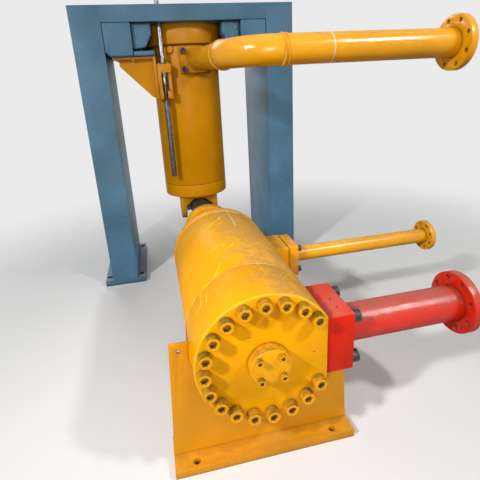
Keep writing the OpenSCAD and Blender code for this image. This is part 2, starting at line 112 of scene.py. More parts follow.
# Painted shade in the corners of the cast bed
CAST_CORNER_SHADE = (0.012, 0.014, 0.018, 1.0)
CAST_CHIP = (0.05, 0.035, 0.03, 1.0)
RUST = (0.11, 0.055, 0.03, 1.0)
# Painted shade in the corners of black and bare steel
STEEL_CORNER_SHADE = (0.006, 0.006, 0.006, 1.0)
BARE_CORNER_SHADE = (0.05, 0.045, 0.04, 1.0)

# Mirror light of enamel where its surface turns away
GRAZING_SHINE = 0.03

# Sockets of a Mix node that mixes colours
MIX_FACTOR, MIX_FIRST, MIX_SECOND, MIX_RESULT = 0, 6, 7, 2


# Settings that a user would change

class MachineSizes(PropertyGroup):
    """Sizes of the fine shapes that dress the machine."""

    edge: FloatProperty(
        name="Machined Edge", description="Width of the broken edge on turned parts",
        default=0.003, min=0.0005, max=0.006, unit="LENGTH")
    plate_edge: FloatProperty(
        name="Plate Edge", description="Width of the broken edge on plates and blocks",
        default=0.0018, min=0.0005, max=0.004, unit="LENGTH")
    cast_edge: FloatProperty(
        name="Cast Edge", description="Round edge of the rough cast bed",
        default=0.009, min=0.002, max=0.02, unit="LENGTH")
    bead: FloatProperty(
        name="Weld Bead", description="Radius of the weld bead of a large pipe",
        default=0.0055, min=0.002, max=0.01, unit="LENGTH")
    ripple: FloatProperty(
        name="Weld Ripple", description="Distance from one ripple of a weld bead to the next",
        default=0.0045, min=0.002, max=0.01, unit="LENGTH")
    round_steps: IntProperty(
        name="Round Steps", description="Sides of a large turned part",
        default=160, min=48, max=256)


class MachineColours(PropertyGroup):
    """Paint and metal colours of the machine."""

    yellow: FloatVectorProperty(
        name="Yellow Enamel", description="Brushed yellow paint of cylinders and pipes",
        subtype="COLOR", size=3, default=(0.90, 0.388, 0.0), min=0, max=1)
    yellow_dust: FloatVectorProperty(
        name="Dust on Yellow", description="Dusty tan on the tops of yellow parts",
        subtype="COLOR", size=3, default=(0.40, 0.225, 0.058), min=0, max=1)
    red: FloatVectorProperty(
        name="Red Enamel", description="Brushed red paint of the red line",
        subtype="COLOR", size=3, default=(0.70, 0.018, 0.002), min=0, max=1)
    red_dust: FloatVectorProperty(
        name="Dust on Red", description="Dusty pink on the tops of red parts",
        subtype="COLOR", size=3, default=(0.52, 0.105, 0.068), min=0, max=1)
    blue: FloatVectorProperty(
        name="Blue Casting Paint", description="Blue paint of the cast bed",
        subtype="COLOR", size=3, default=(0.056, 0.160, 0.255), min=0, max=1)
    black_steel: FloatVectorProperty(
        name="Black Steel", description="Oiled black screws and the lower tube",
        subtype="COLOR", size=3, default=(0.045, 0.045, 0.05), min=0, max=1)
    bare_steel: FloatVectorProperty(
        name="Bare Steel", description="Ground rods and nuts",
        subtype="COLOR", size=3, default=(0.34, 0.34, 0.335), min=0, max=1)
    floor: FloatVectorProperty(
        name="Floor", description="Plain pale floor",
        subtype="COLOR", size=3, default=(0.74, 0.74, 0.73), min=0, max=1)


# Shader maths

class Signal:
    """A shader socket that Python expressions can work on."""

    def __init__(self, finish, socket):
        self.finish = finish
        self.socket = socket

    def _math(self, operation, first, second):
        return self.finish.node("ShaderNodeMath", {"operation": operation}, {0: first, 1: second})

    def __add__(self, other):
        return self._math("ADD", self, other)

    def __radd__(self, other):
        return self._math("ADD", other, self)

    def __sub__(self, other):
        return self._math("SUBTRACT", self, other)

    def __rsub__(self, other):
        return self._math("SUBTRACT", other, self)

    def __mul__(self, other):
        return self._math("MULTIPLY", self, other)

    def __abs__(self):
        return self._math("ABSOLUTE", self, 0.0)

    def larger(self, other):
        return self._math("MAXIMUM", self, other)

    def smaller(self, other):
        return self._math("MINIMUM", self, other)

    def step(self, low, high, start=0.0, end=1.0):
        """Goes smoothly from start to end while the signal goes from low to high."""
        return self.finish.node(
            "ShaderNodeMapRange", {"interpolation_type": "SMOOTHSTEP"},
            {"Value": self, "From Min": low, "From Max": high, "To Min": start, "To Max": end})

    def fall(self, low, high):
        """Goes smoothly from one to nought while the signal goes from low to high."""
        return self.step(low, high, 1.0, 0.0)

    def near(self, place, inner, outer):
        """One closer to a place than inner, nought past outer."""
        return abs(self - place).fall(inner, outer)


class Finish:
    """A material under construction, with one method that adds any node."""

    def __init__(self, name):
        self.material = bpy.data.materials.new(name)
        self.material.use_nodes = True
        self.tree = self.material.node_tree
        self.tree.nodes.clear()
        self.shader = self.tree.nodes.new("ShaderNodeBsdfPrincipled")
        output = self.tree.nodes.new("ShaderNodeOutputMaterial")
        self.tree.links.new(self.shader.outputs[0], output.inputs[0])

    def node(self, kind, settings=None, inputs=None, out=0):
        """One node with its settings and inputs; returns one of its outputs."""
        made = self.tree.nodes.new(kind)
        for key, value in (settings or {}).items():
            setattr(made, key, value)
        for key, value in (inputs or {}).items():
            self.feed(made.inputs[key], value)
        return Signal(self, made.outputs[out])

    def feed(self, socket, value):
        if isinstance(value, Signal):
            self.tree.links.new(value.socket, socket)
        else:
            socket.default_value = value

    def place(self):
        return self.node("ShaderNodeTexCoord", out="Object")

    def axis(self, name):
        return self.node("ShaderNodeSeparateXYZ", None, {0: self.place()}, name)

    def facing(self, name):
        normal = self.node("ShaderNodeNewGeometry", out="Normal")
        return self.node("ShaderNodeSeparateXYZ", None, {0: normal}, name)

    def vector_math(self, operation, first, second=None, out="Value"):
        inputs = {0: first} if second is None else {0: first, 1: second}
        return self.node("ShaderNodeVectorMath", {"operation": operation}, inputs, out)

    def flat(self, first, second):
        """Two signals as the X and Y of a vector."""
        return self.node("ShaderNodeCombineXYZ", None, {"X": first, "Y": second})

    def noise(self, scale, detail=4.0, stretch=(1, 1, 1), rough=0.55, warp=0.0):
        spread = self.node("ShaderNodeMapping", None, {"Vector": self.place(), "Scale": stretch})
        return self.node(
            "ShaderNodeTexNoise", None,
            {"Vector": spread, "Scale": scale, "Detail": detail, "Roughness": rough,
             "Distortion": warp}, "Fac")

    def mix(self, factor, first, second):
        """The first colour where the factor is nought and the second where it is one."""
        return self.node(
            "ShaderNodeMix", {"data_type": "RGBA"},
            {MIX_FACTOR: factor, MIX_FIRST: first, MIX_SECOND: second}, MIX_RESULT)

    def bump(self, height, distance, strength=1.0, under=None):
        inputs = {"Height": height, "Distance": distance, "Strength": strength}
        if under is not None:
            inputs["Normal"] = under
        return self.node("ShaderNodeBump", None, inputs, "Normal")

    def dress(self, **sockets):
        """Feeds the shader's sockets by their names in small letters."""
        for name, value in sockets.items():
            label = name.replace("_", " ").title().replace("Ior", "IOR")
            self.feed(self.shader.inputs[label], value)
        return self.material


def rgba(colour, gain=1.0):
    return tuple(min(1.0, c * gain) for c in colour) + (1.0,)


# Finishes

def corner_shade_mask(finish, distance):
    """One in tight corners and nought on open faces: the mask of the painted shade in corners."""
    open_share = finish.node(
        "ShaderNodeAmbientOcclusion", {"samples": 6}, {"Distance": distance}, "AO")
    return open_share.fall(0.25, 0.85)


def enamel(name, paint, dust, dust_gain=1.0, chip_gain=1.0, along=(1, 1, 1), gloss=0.30,
           shine=0.34, dusting=None, marks=None, veil=0.35, ridges=None):
    """Brushed machine enamel with patches, brush lines, dust on top, painted shade in corners,
    chips and scuffs.
    """
    finish = Finish(name)
    # Paint in patches, with warm clouds and brush lines
    patches = finish.noise(3.2, 5.0)
    cloud = finish.noise(11.0, 6.0, rough=0.65)
    strokes = finish.noise(34.0, 4.0, along, 0.6, 0.9)
    grain = finish.noise(420.0, 3.0)
    colour = finish.mix(patches.step(0.30, 0.72), rgba(paint, 0.84), rgba(paint, 1.04))
    warm = (paint[0] * 0.88, paint[1] * 0.78, paint[2], 1.0)
    colour = finish.mix(cloud.step(0.52, 0.80) * 0.5, colour, warm)
    colour = finish.mix(strokes.step(0.52, 0.70) * 0.30, colour, rgba(paint, 1.18))

    # Dust; the drive cylinder's own dusting also lays painted shade on its top
    if dusting is None:
        top = finish.facing("Z").step(0.15, 0.95)
        streaky = cloud.step(0.30, 0.70) * 0.45 + strokes.step(0.36, 0.64) * 0.35 + 0.2
        dusty = (top * streaky * dust_gain).smaller(0.92)
        colour = finish.mix(dusty, colour, rgba(dust))
        fine_strokes = finish.noise(120.0, 3.0, along, 0.5, 0.4)
        worn = fine_strokes.step(0.60, 0.72) * top * 0.4
        colour = finish.mix(worn, colour, rgba(paint, 1.1))
    else:
        colour, dusty = dusting(finish, colour, paint, dust, cloud)

    # Painted shade in corners, chips and scuffs
    # Darker in tight corners by ambient occlusion: painted shade
    corner = corner_shade_mask(finish, 0.020)
    painted_corner_shade = corner * (grain.step(0.2, 0.8) * 0.4 + 0.6) * 0.85
    colour = finish.mix(painted_corner_shade, colour, CORNER_SHADE)

    flecks = finish.noise(165.0, 2.0, rough=0.7)
    region = finish.noise(9.0, 2.0).step(0.50, 0.66)
    chips = (flecks.step(0.700, 0.720) * region * chip_gain).smaller(1.0)
    colour = finish.mix(chips, colour, CHIP_TINT)

    scuff_line = finish.noise(26.0, 2.0, (14.0, 1.2, 1.2), 0.5, 1.4)
    scuff_area = finish.noise(5.0, 2.0).step(0.56, 0.70)
    scuffs = scuff_line.step(0.690, 0.715) * scuff_area
    colour = finish.mix(scuffs * 0.45, colour, SCUFF_TINT)

    if marks is not None:
        colour = marks(finish, colour)

    # Gloss and relief
    rough = gloss + cloud * 0.14 + dusty * veil + corner * 0.2 + chips * 0.2
    waves = grain * 0.35 + strokes * 1.2 + cloud * 0.9
    if ridges is not None:
        fineness, lie, height = ridges
        waves = waves + finish.noise(fineness, 2.0, lie) * height
    orange_peel = finish.bump(waves, 0.0008, 0.5)
    normal = finish.bump(1.0 - chips, 0.0006, 0.8, orange_peel)
    return finish.dress(
        base_color=colour, roughness=rough, normal=normal,
        specular_ior_level=sheen(finish, shine))


def sheen(finish, head_on):
    """Less mirror light where the surface turns away, as paint in a dark hall has."""
    away = finish.node("ShaderNodeLayerWeight", None, {"Blend": 0.5}, "Facing")
    below = finish.facing("Z").step(-0.70, 0.10, 0.3, 1.0)
    return away.step(0.25, 0.80, head_on, GRAZING_SHINE) * below


def streaks(finish, flat, turn, width, length):
    """Noise in long thin streaks that lie at that turn on the flat map."""
    laid = finish.node(
        "ShaderNodeMapping", {"vector_type": "TEXTURE"},
        {"Vector": flat, "Rotation": (0, 0, math.radians(turn)), "Scale": (width, length, 1)})
    return finish.node(
        "ShaderNodeTexNoise", None,
        {"Vector": laid, "Scale": 1.0, "Detail": 4.0, "Roughness": 0.6, "Distortion": 1.1}, "Fac")


def drive_dust_and_top_shade(finish, colour, paint, dust, cloud):
    """Broken dust that grows to the rear and the right, wiped through by brush strokes, and kept
    dark on the top as painted shade there as well.
    """
    flat = round_place(finish)
    # Upward faces get the most dust, kept dark there partly as painted shade on the top
    top = finish.facing("Z").step(-0.10, 0.75)
    rearward = finish.axis("Y").step(DUST_FRONT_Y, DUST_REAR_Y, 0.55, 1.0)
    sideways = finish.axis("X").step(-0.70 * DRIVE_RADIUS, 0.55 * DRIVE_RADIUS, 0.15, 1.0)
    grit = finish.noise(24.0, 9.0, rough=0.74)
    field = top * rearward * sideways + (grit - 0.5) + (cloud - 0.5) * 0.8
    patch = field.step(0.12, 0.58)
    region = finish.noise(7.0, 4.0, rough=0.6).step(0.34, 0.54)
    clean = None
    for turn, width, length in WIPES:
        wipe = streaks(finish, flat, turn, width, length).step(0.570, 0.660)
        clean = wipe if clean is None else clean.larger(wipe)
    rounded = abs(finish.facing("Y")).fall(0.35, 0.75)
    clean = clean * region * rounded
    covered = finish.axis("X").step(-0.65 * DRIVE_RADIUS, 0.10 * DRIVE_RADIUS, 0.05, 1.0)
    dusty = patch * covered * (1.0 - clean * 0.75) * 0.90
    aged = finish.axis("Y").step(DUST_FRONT_Y, DUST_REAR_Y)
    colour = finish.mix(dusty, colour, finish.mix(aged, rgba(dust, 1.15), rgba(dust, 1.45)))
    grey = streaks(finish, flat, 5, 0.0035, 0.16).step(0.60, 0.70) * top * rearward
    colour = finish.mix(grey * 0.40, colour, rgba(dust, 0.6))
    colour = finish.mix(clean * 0.40, colour, rgba(paint, 1.10))
    return colour, dusty


def round_place(finish):
    """Arc length from the top line of the drive cylinder, and Y, as one vector."""
    across = finish.axis("X")
    height = finish.axis("Z") - DRIVE_AXIS_Z
    arc = finish.node("ShaderNodeMath", {"operation": "ARCTAN2"}, {0: across, 1: height})
    return finish.flat(arc * DRIVE_RADIUS, finish.axis("Y"))


def stroke(finish, flat, start, end, width):
    """One where a point of the flat map lies on a brush stroke from start to end."""
    start = Vector((*start, 0.0))
    run = Vector((*end, 0.0)) - start
    offset = finish.vector_math("SUBTRACT", flat, start, "Vector")
    share = finish.vector_math("DOT_PRODUCT", offset, run / run.length_squared)
    held = share.larger(0.0).smaller(1.0)
    reached = finish.node(
        "ShaderNodeVectorMath", {"operation": "SCALE"}, {0: run, "Scale": held})
    gap = finish.vector_math("DISTANCE", offset, reached)
    ragged = finish.noise(60.0, 3.0) * width * 0.9
    return (gap + ragged).fall(width * 1.05, width * 1.45)


def drive_marks(finish, colour):
    """Pale lines of worn paint with a painted highlight at the seam and the rear groove, brush
    dabs and a long scratch.
    """
    along = finish.axis("Y")
    wander = finish.noise(14.0, 3.0)
    # The seam and groove lines are worn paint and a painted highlight of their edges
    for place in (DRIVE_SEAM_Y, DRIVE_GROOVE_Y):
        line = along.near(place, 0.0016, 0.0030)
        colour = finish.mix(line * wander.step(0.40, 0.62) * 0.70, colour, WORN_AND_LIT_LINE)
    flat = round_place(finish)
    for start, end, width, strength in brush_dabs():
        dab = stroke(finish, flat, start, end, width) * strength
        colour = finish.mix(dab, colour, BRIGHT_STROKE)
    start = (SCRATCH_ARC, DRIVE_GROOVE_Y)
    end = (SCRATCH_ARC, DRIVE_GROOVE_Y - SCRATCH_LENGTH)
    scratch = stroke(finish, flat, start, end, SCRATCH_WIDTH)
    return finish.mix(scratch * 0.85, colour, PALE_SCRATCH)


def brush_dabs():
    """Ends, width and strength of each dab: every patch scatters its own round its middle."""
    draw = random.Random(DAB_SEED)
    dabs = []
    for arc, along, reach, count, turn, width, strength in DAB_PATCHES:
        for _ in range(count):
            lie = math.radians(turn + draw.uniform(-DAB_SPREAD, DAB_SPREAD))
            half = draw.uniform(*DAB_LENGTHS) / 2
            middle_arc = arc + draw.uniform(-reach, reach)
            middle_y = along + draw.uniform(-reach, reach)
            across, ahead = half * math.cos(lie), half * math.sin(lie)
            dabs.append((
                (middle_arc - across, middle_y - ahead), (middle_arc + across, middle_y + ahead),
                width, strength))
    return dabs


def head_marks(finish, colour):
    """The marks of the drive cylinder, a painted highlight along the edge of the bolted face, and
    its nicks.
    """
    colour = drive_marks(finish, colour)
    across = finish.axis("X")
    height = finish.axis("Z") - DRIVE_AXIS_Z
    reach = finish.vector_math("LENGTH", finish.flat(across, height))
    # A painted highlight on the broken rim of the bolted face
    edge = reach.step(DRIVE_RADIUS - 0.0075, DRIVE_RADIUS - 0.0045)
    front = (finish.axis("Y") - FACE_Y).fall(0.0045, 0.0060)
    colour = finish.mix(edge * front * 0.35, colour, PAINTED_EDGE_HIGHLIGHT)
    flat = finish.flat(across, finish.axis("Z"))
    for side, rise in NICK_PLACES:
        end = (side + NICK_LENGTH, rise - NICK_FALL)
        nick = stroke(finish, flat, (side, rise), end, NICK_WIDTH) * front
        colour = finish.mix(nick * 0.8, colour, NICK_TINT)
    return colour


def shot_marks(finish, colour):
    """The dark seam over the bottom cap and a short scratch on the front of the barrel."""
    height = finish.axis("Z")
    wander = finish.noise(12.0, 3.0).step(0.30, 0.55, 0.35, 1.0)
    seam = height.near(SHOT_SEAM_Z, 0.0012, 0.0026)
    colour = finish.mix(seam * wander * 0.8, colour, DARK_SEAM)
    flat = finish.flat(finish.axis("X"), height)
    front = finish.facing("Y").fall(-0.40, -0.20)
    low_end = (SHOT_SCRATCH_X - SHOT_SCRATCH_LEAN, SHOT_SCRATCH_Z - SHOT_SCRATCH_LENGTH)
    scratch = stroke(
        finish, flat, (SHOT_SCRATCH_X, SHOT_SCRATCH_Z), low_end, SHOT_SCRATCH_WIDTH)
    return finish.mix(scratch * front * 0.7, colour, DARK_SCRATCH)


def shot_line_marks(finish, colour):
    """A thin pale ring round the straight run of the shot line."""
    wander = finish.noise(20.0, 2.0) * 0.006
    ring = (finish.axis("X") + wander).near(PALE_RING_X, 0.0022, 0.0036)
    return finish.mix(ring * 0.85, colour, PALE_RING)


def red_block_marks(finish, colour):
    """A dark band on the left of the red block's top face, and two punch marks."""
    top = finish.facing("Z").step(0.80, 0.95)
    # Darker along the left of the top face
    band = finish.axis("X").fall(FLAT_X + 0.020, FLAT_X + 0.030)
    colour = finish.mix(band * top * 0.45, colour, DARK_TOP_BAND)
    for place in (PUNCH_FIRST, PUNCH_FIRST + BACK * PUNCH_GAP):
        mark = finish.vector_math("DISTANCE", finish.place(), place).fall(0.0035, 0.0050)
        colour = finish.mix(mark * 0.85, colour, PUNCH_TINT)
    return colour


def cast_paint(name, paint, pebbly=False):
    """Satin paint on rough sand casting, with painted shade in its corners; the lugs have a pebbly
    skin as well.
    """
    finish = Finish(name)
    lumps = finish.noise(24.0, 5.0, rough=0.6)
    grit = finish.noise(260.0, 4.0, rough=0.7)
    patches = finish.noise(4.0, 4.0)
    colour = finish.mix(patches.step(0.3, 0.7), rgba(paint, 0.82), rgba(paint, 1.15))
    colour = finish.mix(lumps.step(0.55, 0.75) * 0.4, colour, rgba(paint, 1.35))
    top = finish.facing("Z").step(0.3, 0.95)
    colour = finish.mix(top * 0.45, colour, CAST_DUST)
    # Painted shade in the casting's corners
    corner = corner_shade_mask(finish, 0.04)
    colour = finish.mix(corner * 0.75, colour, CAST_CORNER_SHADE)
    chips = finish.noise(120.0, 2.0, rough=0.7).step(0.70, 0.72)
    colour = finish.mix(chips * 0.8, colour, CAST_CHIP)
    rough = 0.42 + grit * 0.16 + top * 0.2
    relief = lumps + grit * 0.35
    if pebbly:
        pebbles = finish.noise(150.0, 2.0, rough=0.5)
        # Pebble tops painted lighter and their hollows painted darker: painted highlight and
        # painted shade of the relief
        colour = finish.mix(pebbles.step(0.50, 0.62) * 0.55, colour, rgba(paint, 1.9))
        colour = finish.mix(pebbles.fall(0.36, 0.48) * 0.55, colour, rgba(paint, 0.35))
        relief = relief + pebbles * 2.0
    normal = finish.bump(relief, 0.0022, 0.7)
    return finish.dress(base_color=colour, roughness=rough, normal=normal)


def oiled_steel(name, steel):
    """Black oiled steel with a little rust, bright rubbed places and painted shade in its corners.
    """
    finish = Finish(name)
    wear = finish.noise(70.0, 5.0, rough=0.65)
    grain = finish.noise(600.0, 2.0)
    colour = finish.mix(wear.step(0.35, 0.7), rgba(steel, 0.7), rgba(steel, 2.1))
    rust = finish.noise(150.0, 3.0).step(0.60, 0.70)
    colour = finish.mix(rust * 0.45, colour, RUST)
    # Painted shade in corners
    corner = corner_shade_mask(finish, 0.012)
    colour = finish.mix(corner * 0.7, colour, STEEL_CORNER_SHADE)
    rough = 0.36 + wear * 0.2 + rust * 0.25
    normal = finish.bump(wear + grain * 0.4, 0.0005, 0.6)
    metallic = 0.75 - rust * 0.4
    return finish.dress(base_color=colour, roughness=rough, metallic=metallic, normal=normal)


def bare_steel(name, steel):
    """Ground bare steel with fine lines round the rod and painted shade in its corners."""
    finish = Finish(name)
    lines = finish.noise(90.0, 2.0, (1, 1, 40))
    smears = finish.noise(30.0, 4.0)
    colour = finish.mix(smears.step(0.35, 0.7), rgba(steel, 0.72), rgba(steel, 1.1))
    # Painted shade in corners
    corner = corner_shade_mask(finish, 0.01)
    colour = finish.mix(corner * 0.6, colour, BARE_CORNER_SHADE)
    rough = 0.26 + smears * 0.2
    normal = finish.bump(lines, 0.0002, 0.5)
    return finish.dress(base_color=colour, roughness=rough, metallic=1.0, normal=normal)


def plain_floor(name, colour):
    """A pale floor that melts into the background far away and throws little light upward."""
    finish = Finish(name)
    seen = finish.node("ShaderNodeLightPath", out="Is Camera Ray")
    for kind in MIRROR_RAYS:
        seen = seen.larger(finish.node("ShaderNodeLightPath", out=kind))
    far = finish.vector_math("DISTANCE", finish.place(), MACHINE_MIDDLE)
    melt = far.step(MELT_START, MELT_END)
    tint = finish.mix(seen, rgba(colour, 0.35), rgba(colour))
    lit = finish.mix(melt, tint, BLACK)
    return finish.dress(
        base_color=lit, roughness=0.9, specular_ior_level=(1.0 - melt) * 0.1,
        emission_color=BACKGROUND, emission_strength=melt * seen)


FINISHES = {}


def finish_named(name):
    """The finish of that name, made when it is first asked for."""
    if name in FINISHES:
        return FINISHES[name]
    colours = bpy.context.scene.machine_colours
    yellow, dust = colours.yellow, colours.yellow_dust
    # A darker copy of the yellow as painted shade, for the shot cylinder, its collar and port
    # parts, and the brackets
    painted_shade_yellow = [yellow[0] * 0.77, yellow[1] * 0.72, yellow[2]]

    def scaled(colour, gain):
        return [c * gain for c in colour]

    def yellow_enamel(paint, under=dust, **settings):
        return lambda: enamel(name, paint, under, **settings)

    def shot_enamel(**settings):
        return yellow_enamel(painted_shade_yellow, chip_gain=0.7, along=(6, 6, 1), **settings)

    def red_enamel(under, **settings):
        return lambda: enamel(name, colours.red, under, chip_gain=0.9, **settings)

    makers = {
        "drive_enamel": yellow_enamel(
            yellow, along=(7, 1, 7), shine=0.13, dusting=drive_dust_and_top_shade, marks=drive_marks),
        "head_enamel": yellow_enamel(
            yellow, along=(7, 1, 7), shine=0.15, dusting=drive_dust_and_top_shade, marks=head_marks),
        "screw_enamel": yellow_enamel(
            scaled(yellow, 0.92), OLIVE_DUST, dust_gain=1.3, chip_gain=2.2),
        "cover_enamel": yellow_enamel(yellow, OLIVE_DUST, dust_gain=1.15),
        "shot_enamel": shot_enamel(shine=0.12, marks=shot_marks),
        "collar_enamel": shot_enamel(gloss=0.16, shine=0.28, ridges=(16.0, (1, 1, 40), 1.5)),
        # The pad is painted in a lighter copy of the yellow: painted light
        "pad_enamel": yellow_enamel(scaled(yellow, 1.10), dust_gain=0.7),
        "line_enamel": yellow_enamel(
            yellow, dust_gain=0.45, chip_gain=1.2, along=(1, 8, 8), gloss=0.14, shine=0.50,
            veil=0.15),
        "shot_line_enamel": yellow_enamel(
            yellow, dust_gain=0.25, chip_gain=0.8, along=(1, 8, 8), gloss=0.08, shine=0.50,
            veil=0.15, marks=shot_line_marks),
        "bracket_enamel": yellow_enamel(
            painted_shade_yellow, dust_gain=0.45, chip_gain=0.9, along=(3, 1, 3), gloss=0.26),
        "red_enamel": red_enamel(
            scaled(colours.red_dust, 0.72), dust_gain=1.7, along=(1, 7, 7), gloss=0.12,
            shine=0.50, veil=0.10, ridges=(150.0, (1, 1, 1), 2.4)),
        "red_block_enamel": red_enamel(
            colours.red_dust, dust_gain=1.1, along=(3, 3, 3), gloss=0.34, shine=0.22,
            marks=red_block_marks),
        "blue_casting": lambda: cast_paint(name, colours.blue),
        "lug_casting": lambda: cast_paint(name, colours.blue, pebbly=True),
        "black_steel": lambda: oiled_steel(name, colours.black_steel),
        "rod_steel": lambda: oiled_steel(name, scaled(colours.black_steel, 1.9)),
        "bare_steel": lambda: bare_steel(name, colours.bare_steel),
        "pale_floor": lambda: plain_floor(name, colours.floor),
    }
    FINISHES[name] = makers[name]()
    return FINISHES[name]


# Mesh building

# Edges that turn more than these angles are kept sharp, or broken by a bevel
SHARP_ANGLE = math.radians(32)
BEVEL_ANGLE = math.radians(34)
FLAT_ANGLE = math.radians(0.6)
MERGE_DISTANCE = 0.00002
PIPE_STEPS = 96


def smooth(mesh):
    mesh.polygons.foreach_set("use_smooth", [True] * len(mesh.polygons))
    mesh.set_sharp_from_angle(angle=SHARP_ANGLE)


def linked(name, data):
    """A new object in the scene."""
    made = bpy.data.objects.new(name, data)
    bpy.context.scene.collection.objects.link(made)
    return made


def settled(source, name):
    """The evaluated mesh of an object as a new plain object, with the old one removed."""
    graph = bpy.context.evaluated_depsgraph_get()
    mesh = bpy.data.meshes.new_from_object(source.evaluated_get(graph))
    mesh.name = name
    bpy.data.objects.remove(source)
    return linked(name, mesh)


def bevelled(made, width, segments=2):
    """The same object with its sharp edges broken."""
    name = made.name
    made.name = name + "_raw"
    edge = made.modifiers.new("edge", "BEVEL")
    edge.width = width
    edge.segments = segments
    edge.limit_method = "ANGLE"
    edge.angle_limit = BEVEL_ANGLE
    edge.use_clamp_overlap = True
    return settled(made, name)


def piece(made, body, slot, finish_name, *replaced):
    """Gives an object its finish, ties it to a body and hides the nodes it stands for; the slot is
    not used.
    """
    made.data.materials.clear()
    made.data.materials.append(finish_named(finish_name))
    smooth(made.data)
    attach(made, body)
    if replaced:
        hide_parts(*replaced)
    return made


def kept(work, name):
    """A bmesh as a new object."""
    mesh = bpy.data.meshes.new(name)
    work.to_mesh(mesh)
    work.free()
    return linked(name, mesh)


def mesh_from(name, build):
    """A mesh object filled by a function that takes an empty bmesh."""
    work = bmesh.new()
    build(work)
    bmesh.ops.recalc_face_normals(work, faces=work.faces)
    return kept(work, name)


def reshaped(made, change):
    """The same object after a function has changed its mesh as a bmesh."""
    work = bmesh.new()
    work.from_mesh(made.data)
    change(work)
    work.to_mesh(made.data)
    work.free()
    return made


def loft(work, rings, cap=True, closed=False):
    """Faces between rings that all have the same number of points."""
    rows = [[work.verts.new(point) for point in ring] for ring in rings]
    pairs = list(zip(rows, rows[1:]))
    if closed:
        pairs.append((rows[-1], rows[0]))
    for low, high in pairs:
        count = len(low)
        for i in range(count):
            j = (i + 1) % count
            work.faces.new((low[i], low[j], high[j], high[i]))
    if cap and not closed:
        work.faces.new(rows[0])
        work.faces.new(rows[-1])


def frame_of(axis):
    """Two directions across an axis."""
    side = UP if abs(axis.z) < 0.9 else RIGHT
    across = side.cross(axis).normalized()
    return across, axis.cross(across).normalized()


def turns(steps):
    """The angles of a full turn in equal steps."""
    return [2 * math.pi * i / steps for i in range(steps)]


def ring_points(centre, axis, radius, steps):
    across, over = frame_of(axis)
    return [
        centre + (across * math.cos(turn) + over * math.sin(turn)) * radius
        for turn in turns(steps)
    ]


def turned(name, origin, axis, profile, steps, hollow=False):
    """A turned part: the profile holds (distance along the axis, radius)."""
    def build(work):
        rings = [ring_points(origin + axis * at, axis, radius, steps) for at, radius in profile]
        loft(work, rings, cap=not hollow, closed=hollow)
    return mesh_from(name, build)


def clean_copy(node, name):
    """A merged copy of a CAD node with its flat faces joined."""
    work = bmesh.new()
    work.from_mesh(frame["nodes"][node].data)
    bmesh.ops.remove_doubles(work, verts=work.verts, dist=MERGE_DISTANCE)
    bmesh.ops.dissolve_limit(
        work, angle_limit=FLAT_ANGLE, verts=work.verts, edges=work.edges)
    return kept(work, name)


def stands_for(made, node, finish_name):
    """Gives a piece its finish and puts it in place of a CAD node."""
    return piece(made, body_of(node), SLOT_OF[node], finish_name, node)


def belongs_to(made, node, finish_name):
    """Gives a piece its finish and ties it to a CAD node's body, which stays."""
    return piece(made, body_of(node), SLOT_OF[node], finish_name)


def dressed(node, finish_name, width, segments=2):
    """A CAD node with its edges broken, standing for that node."""
    made = bevelled(clean_copy(node, node + "_finished"), width, segments)
    return stands_for(made, node, finish_name)


def body_of(node):
    return frame["nodes"][node]["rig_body"]


def middle(node):
    low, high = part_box(node)
    return (low + high) / 2


# How much a weld bead swells in waves and by chance, its sides, and its rings to a ripple
BEAD_WAVE = 0.16
BEAD_CHANCE = 0.05
BEAD_SIDES = 8
BEAD_RINGS = 4


def bead_rings(path, radius, ripple, seed, closed):
    """Rings of a weld bead along a path of points, thick and thin by turns."""
    steady = random.Random(seed)
    rings = []
    count = len(path)
    travelled = 0.0
    for i, point in enumerate(path):
        before = path[i - 1] if (i or closed) else point
        after = path[(i + 1) % count] if (i < count - 1 or closed) else point
        axis = (after - before).normalized()
        travelled += (point - before).length
        wave = BEAD_WAVE * math.cos(2 * math.pi * travelled / ripple)
        swell = 1.0 + wave + steady.uniform(-BEAD_CHANCE, BEAD_CHANCE)
        rings.append(ring_points(point, axis, radius * swell, BEAD_SIDES))
    return rings


def weld_ring(name, centre, axis, pipe_radius, bead, ripple, seed):
    """A weld bead all round a pipe."""
    steps = max(48, int(2 * math.pi * pipe_radius / ripple * BEAD_RINGS))

    def build(work):
        path = ring_points(centre, axis, pipe_radius, steps)
        loft(work, bead_rings(path, bead, ripple, seed, True), closed=True)
    return mesh_from(name, build)


def weld_path(name, corners, bead, ripple, seed):
    """A weld bead along straight stretches between corners."""
    path = []
    for start, end in zip(corners, corners[1:]):
        steps = max(2, int((end - start).length / ripple * BEAD_RINGS))
        path += [start.lerp(end, i / steps) for i in range(steps)]
    path.append(corners[-1])

    def build(work):
        loft(work, bead_rings(path, bead, ripple, seed, False))
    return mesh_from(name, build)


def joined(name, *objects):
    """Several objects as one."""
    work = bmesh.new()
    for made in objects:
        work.from_mesh(made.data)
        bpy.data.objects.remove(made)
    return kept(work, name)


def grooved(length, radius, groove, deep):
    """The profile of a round bar that is turned down over its last stretch."""
    start = length - groove
    return [(0, radius), (start, radius), (start, radius - deep), (length, radius - deep)]


# Screws, set out by Geometry Nodes

def hexagon_radius(turn, across_flats):
    """Distance from the middle to a hexagon's edge in one direction."""
    part = (turn % (math.pi / 3)) - math.pi / 6
    return across_flats / 2 / math.cos(part)


SCREW_STEPS = 48
KNURL = 0.022


def outline(height, reach):
    """A loop round Z at a height; reach gives the distance for a turn and its number."""
    return [
        Vector((math.cos(turn), math.sin(turn), 0)) * reach(turn, i) + UP * height
        for i, turn in enumerate(turns(SCREW_STEPS))
    ]


